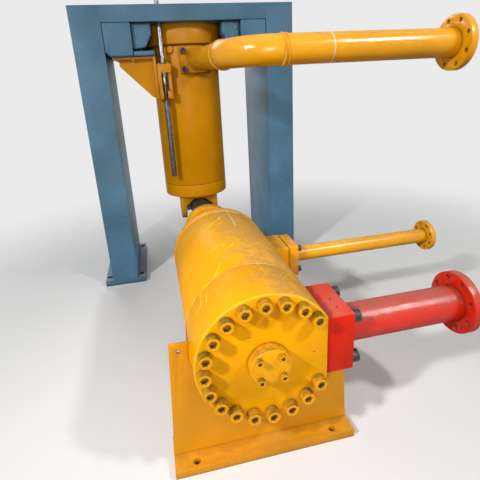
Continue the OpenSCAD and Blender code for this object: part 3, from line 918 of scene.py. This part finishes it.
def socket_screw_mesh(thread, head):
    """One socket screw head, seat at the origin, head along +Z, with a knurled side."""
    radius = thread * 0.75
    edge = thread * 0.07
    flats = thread * 0.80
    depth = min(thread * 0.62, head * 0.8)

    def circle(distance, height, knurl=0.0):
        return outline(height, lambda turn, i: distance * (1 - knurl * (i % 2)))

    def hexagon(height):
        return outline(height, lambda turn, i: hexagon_radius(turn, flats))

    def build(work):
        loft(work, [
            circle(radius * 0.985, 0.0),
            circle(radius, edge * 0.4, KNURL),
            circle(radius, head - edge * 1.6, KNURL),
            circle(radius, head - edge),
            circle(radius - edge * 0.4, head - edge * 0.3),
            circle(radius - edge, head),
            circle(flats * 0.64, head),
            hexagon(head - edge * 0.7),
            hexagon(head - depth),
            circle(flats * 0.2, head - depth * 1.12),
        ])
    return mesh_from("one_socket_screw", build)


def hex_bolt_mesh(thread, head):
    """One hexagon bolt head with its corners turned off, seat at the origin."""
    flats = thread * 1.6

    def cut_hexagon(height, limit):
        return outline(height, lambda turn, i: min(hexagon_radius(turn, flats), limit))

    def build(work):
        loft(work, [
            cut_hexagon(0.0, flats),
            cut_hexagon(head * 0.80, flats),
            cut_hexagon(head * 0.94, flats * 0.53),
            cut_hexagon(head, flats * 0.47),
        ])
    return mesh_from("one_hex_bolt", build)


def new_tree(name, sockets):
    """A Geometry Nodes tree with named inputs and a geometry output."""
    tree = bpy.data.node_groups.new(name, "GeometryNodeTree")
    tree.interface.new_socket("Geometry", in_out="INPUT", socket_type="NodeSocketGeometry")
    for label, kind in sockets:
        tree.interface.new_socket(label, in_out="INPUT", socket_type=kind)
    tree.interface.new_socket("Geometry", in_out="OUTPUT", socket_type="NodeSocketGeometry")
    return tree


def tree_node(tree, kind, settings=None, inputs=None):
    made = tree.nodes.new(kind)
    for key, value in (settings or {}).items():
        setattr(made, key, value)
    for key, value in (inputs or {}).items():
        if isinstance(value, bpy.types.NodeSocket):
            tree.links.new(value, made.inputs[key])
        else:
            made.inputs[key].default_value = value
    return made


def set_out(tree, points, given):
    """Puts the incoming screw on each point, turns the whole set and gives it a material."""
    spin = tree_node(tree, "FunctionNodeRandomValue", {"data_type": "FLOAT"},
                     {"Max": 2 * math.pi, "Seed": given.outputs["Seed"]})
    turn = tree_node(tree, "ShaderNodeCombineXYZ", None, {"Z": spin.outputs["Value"]})
    placed = tree_node(tree, "GeometryNodeInstanceOnPoints", None, {
        "Points": points, "Instance": given.outputs["Geometry"],
        "Rotation": turn.outputs["Vector"]})
    moved = tree_node(tree, "GeometryNodeTransform", None, {
        "Geometry": placed.outputs["Instances"],
        "Translation": given.outputs["Centre"], "Rotation": given.outputs["Turn"]})
    solid = tree_node(tree, "GeometryNodeRealizeInstances", None,
                      {"Geometry": moved.outputs["Geometry"]})
    painted = tree_node(tree, "GeometryNodeSetMaterial", None, {
        "Geometry": solid.outputs["Geometry"], "Material": given.outputs["Material"]})
    result = tree_node(tree, "NodeGroupOutput")
    tree.links.new(painted.outputs["Geometry"], result.inputs[0])


def ring_tree():
    """Screws on an arc: the ring lies in XY and the screws stand along +Z before the turn."""
    tree = new_tree("screws_on_a_ring", [
        ("Count", "NodeSocketInt"), ("Radius", "NodeSocketFloat"), ("Start", "NodeSocketFloat"),
        ("Step", "NodeSocketFloat"), ("Centre", "NodeSocketVector"), ("Turn", "NodeSocketVector"),
        ("Seed", "NodeSocketInt"), ("Material", "NodeSocketMaterial")])
    given = tree_node(tree, "NodeGroupInput")
    index = tree_node(tree, "GeometryNodeInputIndex")
    swept = tree_node(tree, "ShaderNodeMath", {"operation": "MULTIPLY_ADD"}, {
        0: index.outputs[0], 1: given.outputs["Step"], 2: given.outputs["Start"]})
    parts = {}
    for key, operation in (("X", "COSINE"), ("Y", "SINE")):
        share = tree_node(tree, "ShaderNodeMath", {"operation": operation}, {0: swept.outputs[0]})
        parts[key] = tree_node(tree, "ShaderNodeMath", {"operation": "MULTIPLY"}, {
            0: share.outputs[0], 1: given.outputs["Radius"]}).outputs[0]
    place = tree_node(tree, "ShaderNodeCombineXYZ", None, parts)
    points = tree_node(tree, "GeometryNodePoints", None, {
        "Count": given.outputs["Count"], "Position": place.outputs["Vector"]})
    set_out(tree, points.outputs[0], given)
    return tree


def square_tree():
    """Screws at four corners of a rectangle in XY, standing along +Z before the turn."""
    tree = new_tree("screws_on_a_square", [
        ("Width", "NodeSocketFloat"), ("Height", "NodeSocketFloat"),
        ("Centre", "NodeSocketVector"), ("Turn", "NodeSocketVector"),
        ("Seed", "NodeSocketInt"), ("Material", "NodeSocketMaterial")])
    given = tree_node(tree, "NodeGroupInput")
    grid = tree_node(tree, "GeometryNodeMeshGrid", None, {
        "Size X": given.outputs["Width"], "Size Y": given.outputs["Height"],
        "Vertices X": 2, "Vertices Y": 2})
    points = tree_node(tree, "GeometryNodeMeshToPoints", None, {"Mesh": grid.outputs["Mesh"]})
    set_out(tree, points.outputs[0], given)
    return tree


TREES = {}


def set_of_screws(name, kind, screw, finish_name, **values):
    """Runs a screw tree on one screw and returns the whole set as a plain object."""
    if kind not in TREES:
        TREES[kind] = {"ring": ring_tree, "square": square_tree}[kind]()
    tree = TREES[kind]
    screw.data.materials.clear()
    worker = screw.modifiers.new("set", "NODES")
    worker.node_group = tree
    values["Material"] = finish_named(finish_name)
    for item in tree.interface.items_tree:
        if item.in_out == "INPUT" and item.name in values:
            worker[item.identifier] = values[item.name]
    return settled(screw, name)


FACING_FRONT = (math.pi / 2, 0.0, 0.0)
FACING_RIGHT = (0.0, math.pi / 2, 0.0)
FACING_DOWN = (math.pi, 0.0, 0.0)


def one_bolt(name, screw, finish_name, centre, seed):
    """One bolt head under a plate."""
    return set_of_screws(
        name, "ring", screw, finish_name, Count=1, Radius=0.0, Start=0.0, Step=0.0,
        Centre=centre, Turn=FACING_DOWN, Seed=seed)


def flange_screws(name, node, thread, width, height, centre, facing, seed):
    """Four black socket screws in place of a CAD node."""
    made = set_of_screws(
        name, "square", socket_screw_mesh(thread, thread), "black_steel", Width=width,
        Height=height, Centre=centre, Turn=facing, Seed=seed)
    return stands_for(made, node, "black_steel")


# Places read from the frame

HEAD_LOW, HEAD_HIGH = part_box("drive_head")
DRIVE_AXIS_Z = middle("drive_barrel").z
DRIVE_RADIUS = (HEAD_HIGH.z - HEAD_LOW.z) / 2
DRIVE_SEAM_Y = HEAD_HIGH.y
DRIVE_GROOVE_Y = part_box("drive_barrel")[1].y
FLAT_X = HEAD_HIGH.x
FACE_Y = HEAD_LOW.y
SHOT_RADIUS = (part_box("shot_barrel")[1].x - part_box("shot_barrel")[0].x) / 2
SHOT_SEAM_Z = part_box("shot_bottom_cap")[1].z
SHOT_TOP_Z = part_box("shot_barrel")[1].z
BLOCK_LOW, BLOCK_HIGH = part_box("red_flange_block")
BARREL_MIDDLE_Y = (DRIVE_SEAM_Y + DRIVE_GROOVE_Y) / 2

# Marks, placed from the sizes of their pieces
SHOT_SCRATCH_X = 0.20 * SHOT_RADIUS
SHOT_SCRATCH_Z = SHOT_SEAM_Z + 0.60 * (SHOT_TOP_Z - SHOT_SEAM_Z)
SHOT_SCRATCH_LENGTH = 0.05
SHOT_SCRATCH_LEAN = 0.015
SHOT_SCRATCH_WIDTH = 0.0016
PALE_RING_X = 0.434
NICK_LENGTH = 0.007
NICK_FALL = 0.002
NICK_WIDTH = 0.0018
NICK_PLACES = ((0.75 * FLAT_X, DRIVE_AXIS_Z), (-0.30 * FLAT_X, DRIVE_AXIS_Z + 0.10))
PUNCH_GAP = 0.055
PUNCH_IN = 0.06
PUNCH_FIRST = Vector((
    BLOCK_LOW.x + PUNCH_IN, (BLOCK_LOW.y + BLOCK_HIGH.y) / 2 - PUNCH_GAP, BLOCK_HIGH.z))
SCRATCH_ARC = 0.18 * DRIVE_RADIUS
SCRATCH_LENGTH = 0.22
SCRATCH_WIDTH = 0.003
DUST_FRONT_Y = FACE_Y + 0.10
DUST_REAR_Y = DRIVE_GROOVE_Y

# Patches of brush dabs on the drive cylinder. Each lies by a rule from the head, the seam and
# the rear groove: its middle as arc from the top line and Y, reach, number of dabs, their turn
# in degrees, width, strength.
DAB_SEED = 4
DAB_LENGTHS = (0.018, 0.045)
DAB_SPREAD = 45
DAB_PATCHES = (
    (-0.90 * DRIVE_RADIUS, DRIVE_SEAM_Y - 0.04, 0.055, 7, 50, 0.005, 0.65),
    (-0.50 * DRIVE_RADIUS, DRIVE_SEAM_Y + 0.04, 0.030, 3, 20, 0.003, 0.65),
    (-0.25 * DRIVE_RADIUS, BARREL_MIDDLE_Y - 0.10, 0.040, 4, 60, 0.004, 0.70),
    (-0.15 * DRIVE_RADIUS, DRIVE_GROOVE_Y - 0.15, 0.050, 6, 30, 0.007, 0.60),
)

# Brush wipes through the dust: turn in degrees, width and length of a streak
WIPES = ((32, 0.009, 0.150), (-38, 0.008, 0.130), (70, 0.008, 0.120), (3, 0.007, 0.180))


# Operators, one for each group

class MACHINE_OT_bed(Operator):
    """Dresses the cast bed: columns, walls, top plate, ledges and lugs"""

    bl_idname = "machine.bed"
    bl_label = "Cast Bed"

    # Of the lug bolts: distance in from the lug's end, and how far the head sinks into it
    bolt_in = 0.034
    bolt_sink = 0.004
    # Of the rough skin: edges longer than this are cut, then coarse and fine lumps are sunk
    long_edge = 0.012
    coarse_scale, coarse_depth = 55.0, 0.0022
    fine_scale, fine_depth = 160.0, 0.0008
    least_depth = 0.0004

    def execute(self, context):
        sizes = context.scene.machine_sizes
        for node in ("bed_left_column", "bed_right_column", "bed_left_wall", "bed_right_wall",
                     "bed_back_wall", "bed_top_plate"):
            dressed(node, "blue_casting", sizes.cast_edge, 3)
        dressed("bed_ledges", "blue_casting", sizes.cast_edge * 0.6, 3)
        self.lugs(sizes)
        return {"FINISHED"}

    def lugs(self, sizes):
        """Rough cast lugs with lumpy faces and a bolt under each."""
        made = bevelled(clean_copy("cast_lugs", "cast_lugs_finished"), sizes.cast_edge * 1.1, 3)
        stands_for(reshaped(made, self.roughen), "cast_lugs", "lug_casting")
        low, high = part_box("cast_lugs")
        for side, name in ((-1, "lug_bolt_left"), (1, "lug_bolt_right")):
            centre = Vector((
                side * (high.x - self.bolt_in), (low.y + high.y) / 2, low.z + self.bolt_sink))
            bolt = one_bolt(name, hex_bolt_mesh(0.020, 0.014), "black_steel", centre, 3)
            piece(bolt, body_of("cast_lugs"), "dark_steel", "black_steel")

    def roughen(self, work):
        """Cuts the faces small and sinks each point by two sizes of noise."""
        bmesh.ops.triangulate(work, faces=work.faces)
        for _ in range(3):
            long_edges = [e for e in work.edges if e.calc_length() > self.long_edge]
            bmesh.ops.subdivide_edges(work, edges=long_edges, cuts=1, use_grid_fill=True)
            bmesh.ops.triangulate(work, faces=work.faces)
        for vert in work.verts:
            coarse = noise.noise(vert.co * self.coarse_scale) * self.coarse_depth
            fine = noise.noise(vert.co * self.fine_scale) * self.fine_depth
            vert.co -= vert.normal * (abs(coarse + fine) + self.least_depth)


class MACHINE_OT_shot_cylinder(Operator):
    """Dresses the upright shot cylinder: flange ring, barrel, bottom cap and port block"""

    bl_idname = "machine.shot_cylinder"
    bl_label = "Shot Cylinder"

    # Of the barrel's turned top, the bottom cap's rim, and the plug left of the middle
    groove = 0.012
    groove_deep = 0.009
    foot_round = 0.008
    plug_side = 0.109
    plug_height = 1.512
    plug_radius = 0.020
    plug_length = 0.024
    plug_sink = 0.004

    def execute(self, context):
        sizes = context.scene.machine_sizes
        for node in ("shot_collar", "shot_bottom_cap", "shot_barrel"):
            low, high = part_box(node)
            radius = (high.x - low.x) / 2
            height = high.z - low.z
            profile = [(0, radius), (height, radius)]
            if node == "shot_bottom_cap":
                profile = self.rounded_foot(radius) + [(height, radius)]
            if node == "shot_barrel":
                profile = grooved(height, radius, self.groove, self.groove_deep)
            made = turned(
                node + "_finished", Vector((0, 0, low.z)), UP, profile, sizes.round_steps)
            made = bevelled(made, sizes.edge * 0.7, 2)
            finish = "collar_enamel" if node == "shot_collar" else "shot_enamel"
            stands_for(made, node, finish)
        dressed("shot_port_block", "shot_enamel", sizes.plate_edge)
        self.plug(sizes)
        return {"FINISHED"}

    def rounded_foot(self, radius):
        """The profile of a quarter round at the lower rim of the bottom cap."""
        return [
            (self.foot_round * (1 - math.sin(a)), radius - self.foot_round * (1 - math.cos(a)))
            for a in (math.radians(d) for d in range(90, -1, -10))
        ]

    def plug(self, sizes):
        """The short round plug on the barrel under the flange ring."""
        deep = math.sqrt(SHOT_RADIUS ** 2 - self.plug_side ** 2)
        root = Vector((-self.plug_side, -deep + self.plug_sink, self.plug_height))
        profile = [(0, self.plug_radius), (self.plug_length, self.plug_radius)]
        made = bevelled(turned("vent_plug", root, -BACK, profile, 48), sizes.edge, 2)
        belongs_to(made, "shot_barrel", "shot_enamel")


class MACHINE_OT_link(Operator):
    """Dresses the bracket under the shot cylinder, its pin and the rod eye"""

    bl_idname = "machine.link"
    bl_label = "Link Bracket"

    def execute(self, context):
        sizes = context.scene.machine_sizes
        dressed("link_bracket", "bracket_enamel", sizes.plate_edge)
        dressed("link_pin", "rod_steel", sizes.edge)
        dressed("rod_eye", "rod_steel", sizes.edge)
        dressed("piston_rod", "rod_steel", sizes.edge * 0.5)
        return {"FINISHED"}


class MACHINE_OT_drive_cylinder(Operator):
    """Builds the level drive cylinder: bolted head with its flat, barrel, ring, neck and gland"""

    bl_idname = "machine.drive_cylinder"
    bl_label = "Drive Cylinder"

    # Of the barrel's turned end, the head's screws and the cover's screws, which are four
    groove = 0.005
    groove_deep = 0.007
    screw_thread = 0.030
    screw_count = 17
    screw_ring = 0.2105
    first_screw = math.radians(38)
    screw_step = math.radians(18)
    cover_thread = 0.016
    cover_ring = 0.053
    first_cover_screw = math.radians(48)

    def execute(self, context):
        sizes = context.scene.machine_sizes
        self.head(sizes)
        for node in ("drive_barrel", "drive_rear_ring", "drive_neck"):
            low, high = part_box(node)
            radius = (high.z - low.z) / 2
            length = high.y - low.y
            profile = [(0, radius), (length, radius)]
            if node == "drive_barrel":
                profile = grooved(length, radius, self.groove, self.groove_deep)
            made = turned(
                node + "_finished", Vector((0, low.y, DRIVE_AXIS_Z)), BACK, profile,
                sizes.round_steps)
            stands_for(bevelled(made, sizes.edge * 0.8, 2), node, "drive_enamel")
        dressed("drive_gland", "drive_enamel", sizes.edge)
        self.screws()
        self.cover(sizes)
        return {"FINISHED"}

    def head(self, sizes):
        """The head with its flat on the right."""
        profile = [(0, DRIVE_RADIUS), (HEAD_HIGH.y - FACE_Y, DRIVE_RADIUS)]
        made = turned(
            "drive_head_finished", Vector((0, FACE_Y, DRIVE_AXIS_Z)), BACK, profile,
            sizes.round_steps * 2)
        made = bevelled(reshaped(made, self.cut_flat), sizes.edge, 3)
        stands_for(made, "drive_head", "head_enamel")

    def cut_flat(self, work):
        """Cuts off what stands past the flat and closes the cut."""
        bmesh.ops.bisect_plane(
            work, geom=work.verts[:] + work.edges[:] + work.faces[:],
            plane_co=(FLAT_X, 0, 0), plane_no=(1, 0, 0), clear_outer=True)
        bmesh.ops.contextual_create(work, geom=[e for e in work.edges if e.is_boundary])
        bmesh.ops.recalc_face_normals(work, faces=work.faces)

    def screws(self):
        """Socket screws round the face, with none where the flat is."""
        head = FACE_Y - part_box("drive_head_screws")[0].y
        made = set_of_screws(
            "head_screws", "ring", socket_screw_mesh(self.screw_thread, head), "screw_enamel",
            Count=self.screw_count, Radius=self.screw_ring, Start=self.first_screw,
            Step=self.screw_step, Centre=Vector((0, FACE_Y, DRIVE_AXIS_Z)), Turn=FACING_FRONT,
            Seed=11)
        stands_for(made, "drive_head_screws", "screw_enamel")

    def cover(self, sizes):
        """The round cover on the face and its four screws."""
        low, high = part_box("boss_cover")
        radius = (high.z - low.z) / 2
        origin = Vector((0, low.y, DRIVE_AXIS_Z))
        profile = [(0, radius), (high.y - low.y, radius)]
        made = bevelled(turned("boss_cover_finished", origin, BACK, profile, 128), sizes.edge, 3)
        stands_for(made, "boss_cover", "cover_enamel")
        head = low.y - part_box("boss_screws")[0].y
        screws = set_of_screws(
            "cover_screws", "ring", socket_screw_mesh(self.cover_thread, head), "screw_enamel",
            Count=4, Radius=self.cover_ring, Start=self.first_cover_screw, Step=math.pi / 2,
            Centre=origin, Turn=FACING_FRONT, Seed=5)
        stands_for(screws, "boss_screws", "screw_enamel")


class MACHINE_OT_saddles(Operator):
    """Dresses the saddle plates under the drive cylinder"""

    bl_idname = "machine.saddles"
    bl_label = "Saddles"

    # Of the front plate and its weld, which runs down the left side to this angle below level
    plate_t = 0.012
    weld_end = math.radians(75)
    weld_steps = 60

    def execute(self, context):
        sizes = context.scene.machine_sizes
        for node in ("front_saddle", "rear_saddle"):
            dressed(node, "bracket_enamel", sizes.plate_edge)
        low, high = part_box("front_saddle")
        front = (low.y + high.y) / 2 - self.plate_t / 2
        top = math.asin((high.z - DRIVE_AXIS_Z) / DRIVE_RADIUS)
        sweep = top + self.weld_end
        path = [
            Vector((-math.cos(a) * DRIVE_RADIUS, front, DRIVE_AXIS_Z + math.sin(a) * DRIVE_RADIUS))
            for a in (top - sweep * i / self.weld_steps for i in range(self.weld_steps + 1))
        ]
        bead = weld_path("saddle_weld", path, sizes.bead * 0.8, sizes.ripple, 7)
        belongs_to(bead, "front_saddle", "drive_enamel")
        return {"FINISHED"}


def straight_pipe(node, finish_name, wall, weld_in, weld_gain, seed):
    """A bored pipe along X in place of its node, with a weld bead at its root."""
    sizes = bpy.context.scene.machine_sizes
    low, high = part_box(node)
    root = Vector((low.x, (low.y + high.y) / 2, (low.z + high.z) / 2))
    radius = (high.z - low.z) / 2
    length = high.x - low.x
    made = turned(
        node + "_finished", root, RIGHT,
        [(0, radius), (length, radius), (length, radius - wall), (0, radius - wall)],
        PIPE_STEPS, hollow=True)
    stands_for(made, node, finish_name)
    weld = weld_ring(
        node + "_weld", root + RIGHT * weld_in, RIGHT, radius, sizes.bead * weld_gain,
        sizes.ripple, seed)
    belongs_to(weld, node, finish_name)
    return root


class MACHINE_OT_red_line(Operator):
    """Builds the red line: square flange block, screws, pipe, weld and end flange"""

    bl_idname = "machine.red_line"
    bl_label = "Red Line"

    wall = 0.010
    weld_in = 0.006
    screw_thread = 0.030
    screw_spacing = 0.164

    def execute(self, context):
        sizes = context.scene.machine_sizes
        dressed("red_flange_block", "red_block_enamel", sizes.plate_edge)
        root = straight_pipe("red_pipe", "red_enamel", self.wall, self.weld_in, 1.3, 3)
        dressed("red_end_flange", "red_enamel", sizes.plate_edge)
        flange_screws(
            "red_block_screws", "red_flange_bolts", self.screw_thread, self.screw_spacing,
            self.screw_spacing, Vector((BLOCK_HIGH.x, root.y, root.z)), FACING_RIGHT, 2)
        return {"FINISHED"}


class MACHINE_OT_slim_line(Operator):
    """Builds the slim line: welded pad, flange, screws, pipe and end flange"""

    bl_idname = "machine.slim_line"
    bl_label = "Slim Line"

    wall = 0.007
    weld_in = 0.004
    screw_thread = 0.020
    screw_spacing = 0.112

    def execute(self, context):
        sizes = context.scene.machine_sizes
        dressed("slim_pad", "pad_enamel", sizes.plate_edge)
        dressed("slim_flange", "line_enamel", sizes.plate_edge)
        root = straight_pipe("slim_pipe", "line_enamel", self.wall, self.weld_in, 0.9, 4)
        dressed("slim_end_flange", "line_enamel", sizes.plate_edge)
        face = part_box("slim_flange")[1].x
        flange_screws(
            "slim_flange_screws", "slim_flange_bolts", self.screw_thread, self.screw_spacing,
            self.screw_spacing, Vector((face, root.y, root.z)), FACING_RIGHT, 8)
        return {"FINISHED"}


class MACHINE_OT_shot_line(Operator):
    """Builds the shot line: flange, screws, stub, quarter bend, straight run and welds"""

    bl_idname = "machine.shot_line"
    bl_label = "Shot Line"

    bend_radius = 0.190
    bend_steps = 28
    wall = 0.009
    bore_depth = 0.30
    root_sink = 0.004
    root_weld_in = 0.006
    second_weld = 0.016
    screw_thread = 0.024
    screws_apart = (0.162, 0.108)

    def execute(self, context):
        sizes = context.scene.machine_sizes
        dressed("shot_line_flange", "shot_enamel", sizes.plate_edge)
        flange_low, flange_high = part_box("shot_line_flange")
        end_low, end_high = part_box("shot_line_end_flange")
        port = (flange_low + flange_high) / 2
        end = Vector((end_high.x, (end_low.y + end_high.y) / 2, (end_low.z + end_high.z) / 2))
        radius = end.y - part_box("shot_line_pipe")[0].y
        corner = Vector((port.x, end.y, end.z))
        centre = corner + (RIGHT + BACK) * self.bend_radius
        start = Vector((port.x, flange_low.y, port.z))
        knee = corner + BACK * self.bend_radius
        fall = (knee - start).normalized()
        self.pipe(start, knee, fall, centre, end, radius)
        run = Vector((centre.x, end.y, end.z))
        rings = (
            (start + fall * self.root_weld_in, fall, 1.2),
            (knee, -BACK, 0.85),
            (run, RIGHT, 0.8),
            (run + RIGHT * self.second_weld, RIGHT, 0.6),
        )
        welds = joined("shot_line_welds", *(
            weld_ring("ring", place, axis, radius, sizes.bead * thick, sizes.ripple, seed)
            for seed, (place, axis, thick) in enumerate(rings)))
        belongs_to(welds, "shot_line_pipe", "shot_line_enamel")
        dressed("shot_line_end_flange", "line_enamel", sizes.plate_edge)
        flange_screws(
            "shot_flange_screws", "shot_line_bolts", self.screw_thread, *self.screws_apart,
            start, FACING_FRONT, 9)
        return {"FINISHED"}

    def pipe(self, start, knee, fall, centre, end, radius):
        """One swept tube: the falling stub, the quarter bend and the run to the open end."""
        path = [(start - fall * self.root_sink, fall), (knee, -BACK)]
        for i in range(1, self.bend_steps):
            turn = math.pi / 2 * i / self.bend_steps
            offset = Vector((-math.cos(turn), -math.sin(turn), 0)) * self.bend_radius
            path.append((centre + offset, Vector((math.sin(turn), -math.cos(turn), 0))))
        path.append((Vector((centre.x, end.y, end.z)), RIGHT))
        path.append((end, RIGHT))
        bore = radius - self.wall

        def build(work):
            rings = [ring_points(point, axis, radius, PIPE_STEPS) for point, axis in path]
            rings.append(ring_points(end, RIGHT, bore, PIPE_STEPS))
            rings.append(ring_points(end - RIGHT * self.bore_depth, RIGHT, bore, PIPE_STEPS))
            loft(work, rings)
        made = mesh_from("shot_line_pipe_finished", build)
        stands_for(made, "shot_line_pipe", "shot_line_enamel")


class MACHINE_OT_gauge(Operator):
    """Dresses the gusset bracket, the guide block and the sliding gauge rod"""

    bl_idname = "machine.gauge"
    bl_label = "Gauge Rod and Guide"

    # Of the two screws on top of the guide: size, and distance in from its left, right and front
    top_screw_radius = 0.0075
    top_screw_height = 0.008
    top_screw_sink = 0.0005
    top_screw_left = 0.014
    top_screw_right = 0.018
    top_screw_front = 0.014
    # Of the bolt under the gusset's plate: distance from its left, front and top
    plate_bolt_at = Vector((0.118, 0.016, -0.0155))

    def execute(self, context):
        sizes = context.scene.machine_sizes
        dressed("gusset_bracket", "bracket_enamel", sizes.plate_edge)
        dressed("guide_block", "bracket_enamel", sizes.plate_edge)
        dressed("guide_screws", "screw_enamel", 0.0006, 1)
        self.top_screws()
        low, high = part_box("gusset_bracket")
        place = Vector((low.x, low.y, high.z)) + self.plate_bolt_at
        bolt = one_bolt("plate_bolt", hex_bolt_mesh(0.012, 0.010), "screw_enamel", place, 4)
        belongs_to(bolt, "gusset_bracket", "screw_enamel")
        dressed("gauge_rod", "bare_steel", 0.001)
        dressed("gauge_tube", "rod_steel", 0.0015)
        dressed("gauge_nut", "bare_steel", 0.0015)
        return {"FINISHED"}

    def top_screws(self):
        """Two small hexagon screws on top of the guide block."""
        low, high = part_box("guide_block")
        profile = [(0, self.top_screw_radius), (self.top_screw_height, self.top_screw_radius)]
        heads = [
            turned(
                "head", Vector((x, low.y + self.top_screw_front, high.z - self.top_screw_sink)),
                UP, profile, 6)
            for x in (low.x + self.top_screw_left, high.x - self.top_screw_right)
        ]
        belongs_to(joined("guide_top_screws", *heads), "guide_block", "screw_enamel")


class MACHINE_OT_stage(Operator):
    """Makes the camera, the soft lights, the world and the pale floor"""

    bl_idname = "machine.stage"
    bl_label = "Stage"

    # The camera was fitted to the photo: lengths in metres, turns in degrees, picture in pixels
    camera_place = Vector((-0.277, -2.8835, 1.312))
    camera_yaw = 11.8
    camera_pitch = 18.75
    camera_roll = -3.09
    sensor_width = 36.0
    picture_width = 480.0
    focal_pixels = 392.5
    centre_row = 213.0
    floor_half = 14.0
    world_light = 0.22

    # Lamps that all aim at one place: place, size, spread in degrees, power
    lamp_aim = Vector((0.0, -1.45, 0.4))
    lamps = {
        "left_lamp": (Vector((-2.6, -3.3, 3.0)), 0.30, 76, 24.0),
        "right_lamp": (Vector((2.2, -3.3, 3.2)), 0.30, 76, 12.0),
        "front_light": (Vector((-0.5, -4.6, 1.5)), 1.0, 180, 34.0),
        "top_light": (Vector((0.2, -0.7, 4.6)), 2.0, 180, 6.0),
        "side_light": (Vector((5.0, -1.6, 2.2)), 2.5, 180, 28.0),
        "rear_light": (Vector((-1.5, 4.8, 3.6)), 3.0, 180, 140.0),
    }

    def execute(self, context):
        self.camera(context)
        self.lights()
        self.world(context)
        self.floor()
        context.scene.view_settings.view_transform = "Standard"
        return {"FINISHED"}

    def camera(self, context):
        """The camera at the photo's place, with the photo's tilt and middle."""
        yaw, pitch, roll = (
            math.radians(a) for a in (self.camera_yaw, self.camera_pitch, self.camera_roll))
        ahead = Vector((
            math.sin(yaw) * math.cos(pitch), math.cos(yaw) * math.cos(pitch), -math.sin(pitch)))
        level = Vector((math.cos(yaw), -math.sin(yaw), 0))
        above = level.cross(ahead)
        side = level * math.cos(roll) + above * math.sin(roll)
        over = above * math.cos(roll) - level * math.sin(roll)
        data = bpy.data.cameras.new("camera")
        data.sensor_width = self.sensor_width
        data.lens = self.focal_pixels / self.picture_width * data.sensor_width
        data.shift_y = (self.centre_row - self.picture_width / 2) / self.picture_width
        data.clip_start = 0.02
        data.clip_end = 100.0
        made = linked("camera", data)
        turn = Matrix((side, over, -ahead)).transposed().to_4x4()
        made.matrix_world = Matrix.Translation(self.camera_place) @ turn
        context.scene.camera = made

    def lights(self):
        """Soft round lamps."""
        for name, (place, size, spread, power) in self.lamps.items():
            data = bpy.data.lights.new(name, "AREA")
            data.shape = "DISK"
            data.size = size
            data.spread = math.radians(spread)
            data.energy = power
            made = linked(name, data)
            made.rotation_mode = "QUATERNION"
            made.location = place
            made.rotation_quaternion = (self.lamp_aim - place).to_track_quat("-Z", "Y")

    def world(self, context):
        """White light all round, and the background's own colour for camera and mirror rays."""
        world = bpy.data.worlds.new("studio")
        world.use_nodes = True
        tree = world.node_tree
        tree.nodes.clear()
        light = tree_node(
            tree, "ShaderNodeBackground", None, {"Color": WHITE, "Strength": self.world_light})
        seen = tree_node(
            tree, "ShaderNodeBackground", None, {"Color": BACKGROUND, "Strength": 1.0})
        ray = tree_node(tree, "ShaderNodeLightPath")
        either = ray.outputs["Is Camera Ray"]
        for kind in MIRROR_RAYS:
            larger = tree_node(
                tree, "ShaderNodeMath", {"operation": "MAXIMUM"},
                {0: either, 1: ray.outputs[kind]})
            either = larger.outputs[0]
        blend = tree_node(
            tree, "ShaderNodeMixShader", None,
            {0: either, 1: light.outputs[0], 2: seen.outputs[0]})
        tree_node(tree, "ShaderNodeOutputWorld", None, {0: blend.outputs[0]})
        context.scene.world = world

    def floor(self):
        """A plain square on the ground."""
        half = self.floor_half

        def build(work):
            corners = [work.verts.new((sx * half, sy * half, 0))
                       for sx, sy in ((-1, -1), (1, -1), (1, 1), (-1, 1))]
            work.faces.new(corners)
        made = mesh_from("floor", build)
        made.data.materials.append(finish_named("pale_floor"))


class MACHINE_PT_panel(Panel):
    """Lists the steps that dress the machine."""

    bl_idname = "MACHINE_PT_panel"
    bl_label = "Injection Group"
    bl_space_type = "VIEW_3D"
    bl_region_type = "UI"
    bl_category = "Machine"

    def draw(self, context):
        for settings in (context.scene.machine_sizes, context.scene.machine_colours):
            box = self.layout.box()
            for key in settings.bl_rna.properties.keys():
                if key not in {"rna_type", "name"}:
                    box.prop(settings, key)
        for step in STEPS:
            self.layout.operator(step.bl_idname)


STEPS = (
    MACHINE_OT_bed,
    MACHINE_OT_shot_cylinder,
    MACHINE_OT_link,
    MACHINE_OT_drive_cylinder,
    MACHINE_OT_saddles,
    MACHINE_OT_red_line,
    MACHINE_OT_slim_line,
    MACHINE_OT_shot_line,
    MACHINE_OT_gauge,
    MACHINE_OT_stage,
)
CLASSES = (MachineSizes, MachineColours, *STEPS, MACHINE_PT_panel)


def register():
    for item in CLASSES:
        bpy.utils.register_class(item)
    bpy.types.Scene.machine_sizes = PointerProperty(type=MachineSizes)
    bpy.types.Scene.machine_colours = PointerProperty(type=MachineColours)


def unregister():
    del bpy.types.Scene.machine_colours
    del bpy.types.Scene.machine_sizes
    for item in reversed(CLASSES):
        bpy.utils.unregister_class(item)


def main():
    register()
    for step in STEPS:
        group, action = step.bl_idname.split(".")
        getattr(getattr(bpy.ops, group), action)()


if __name__ == "__main__":
    main()
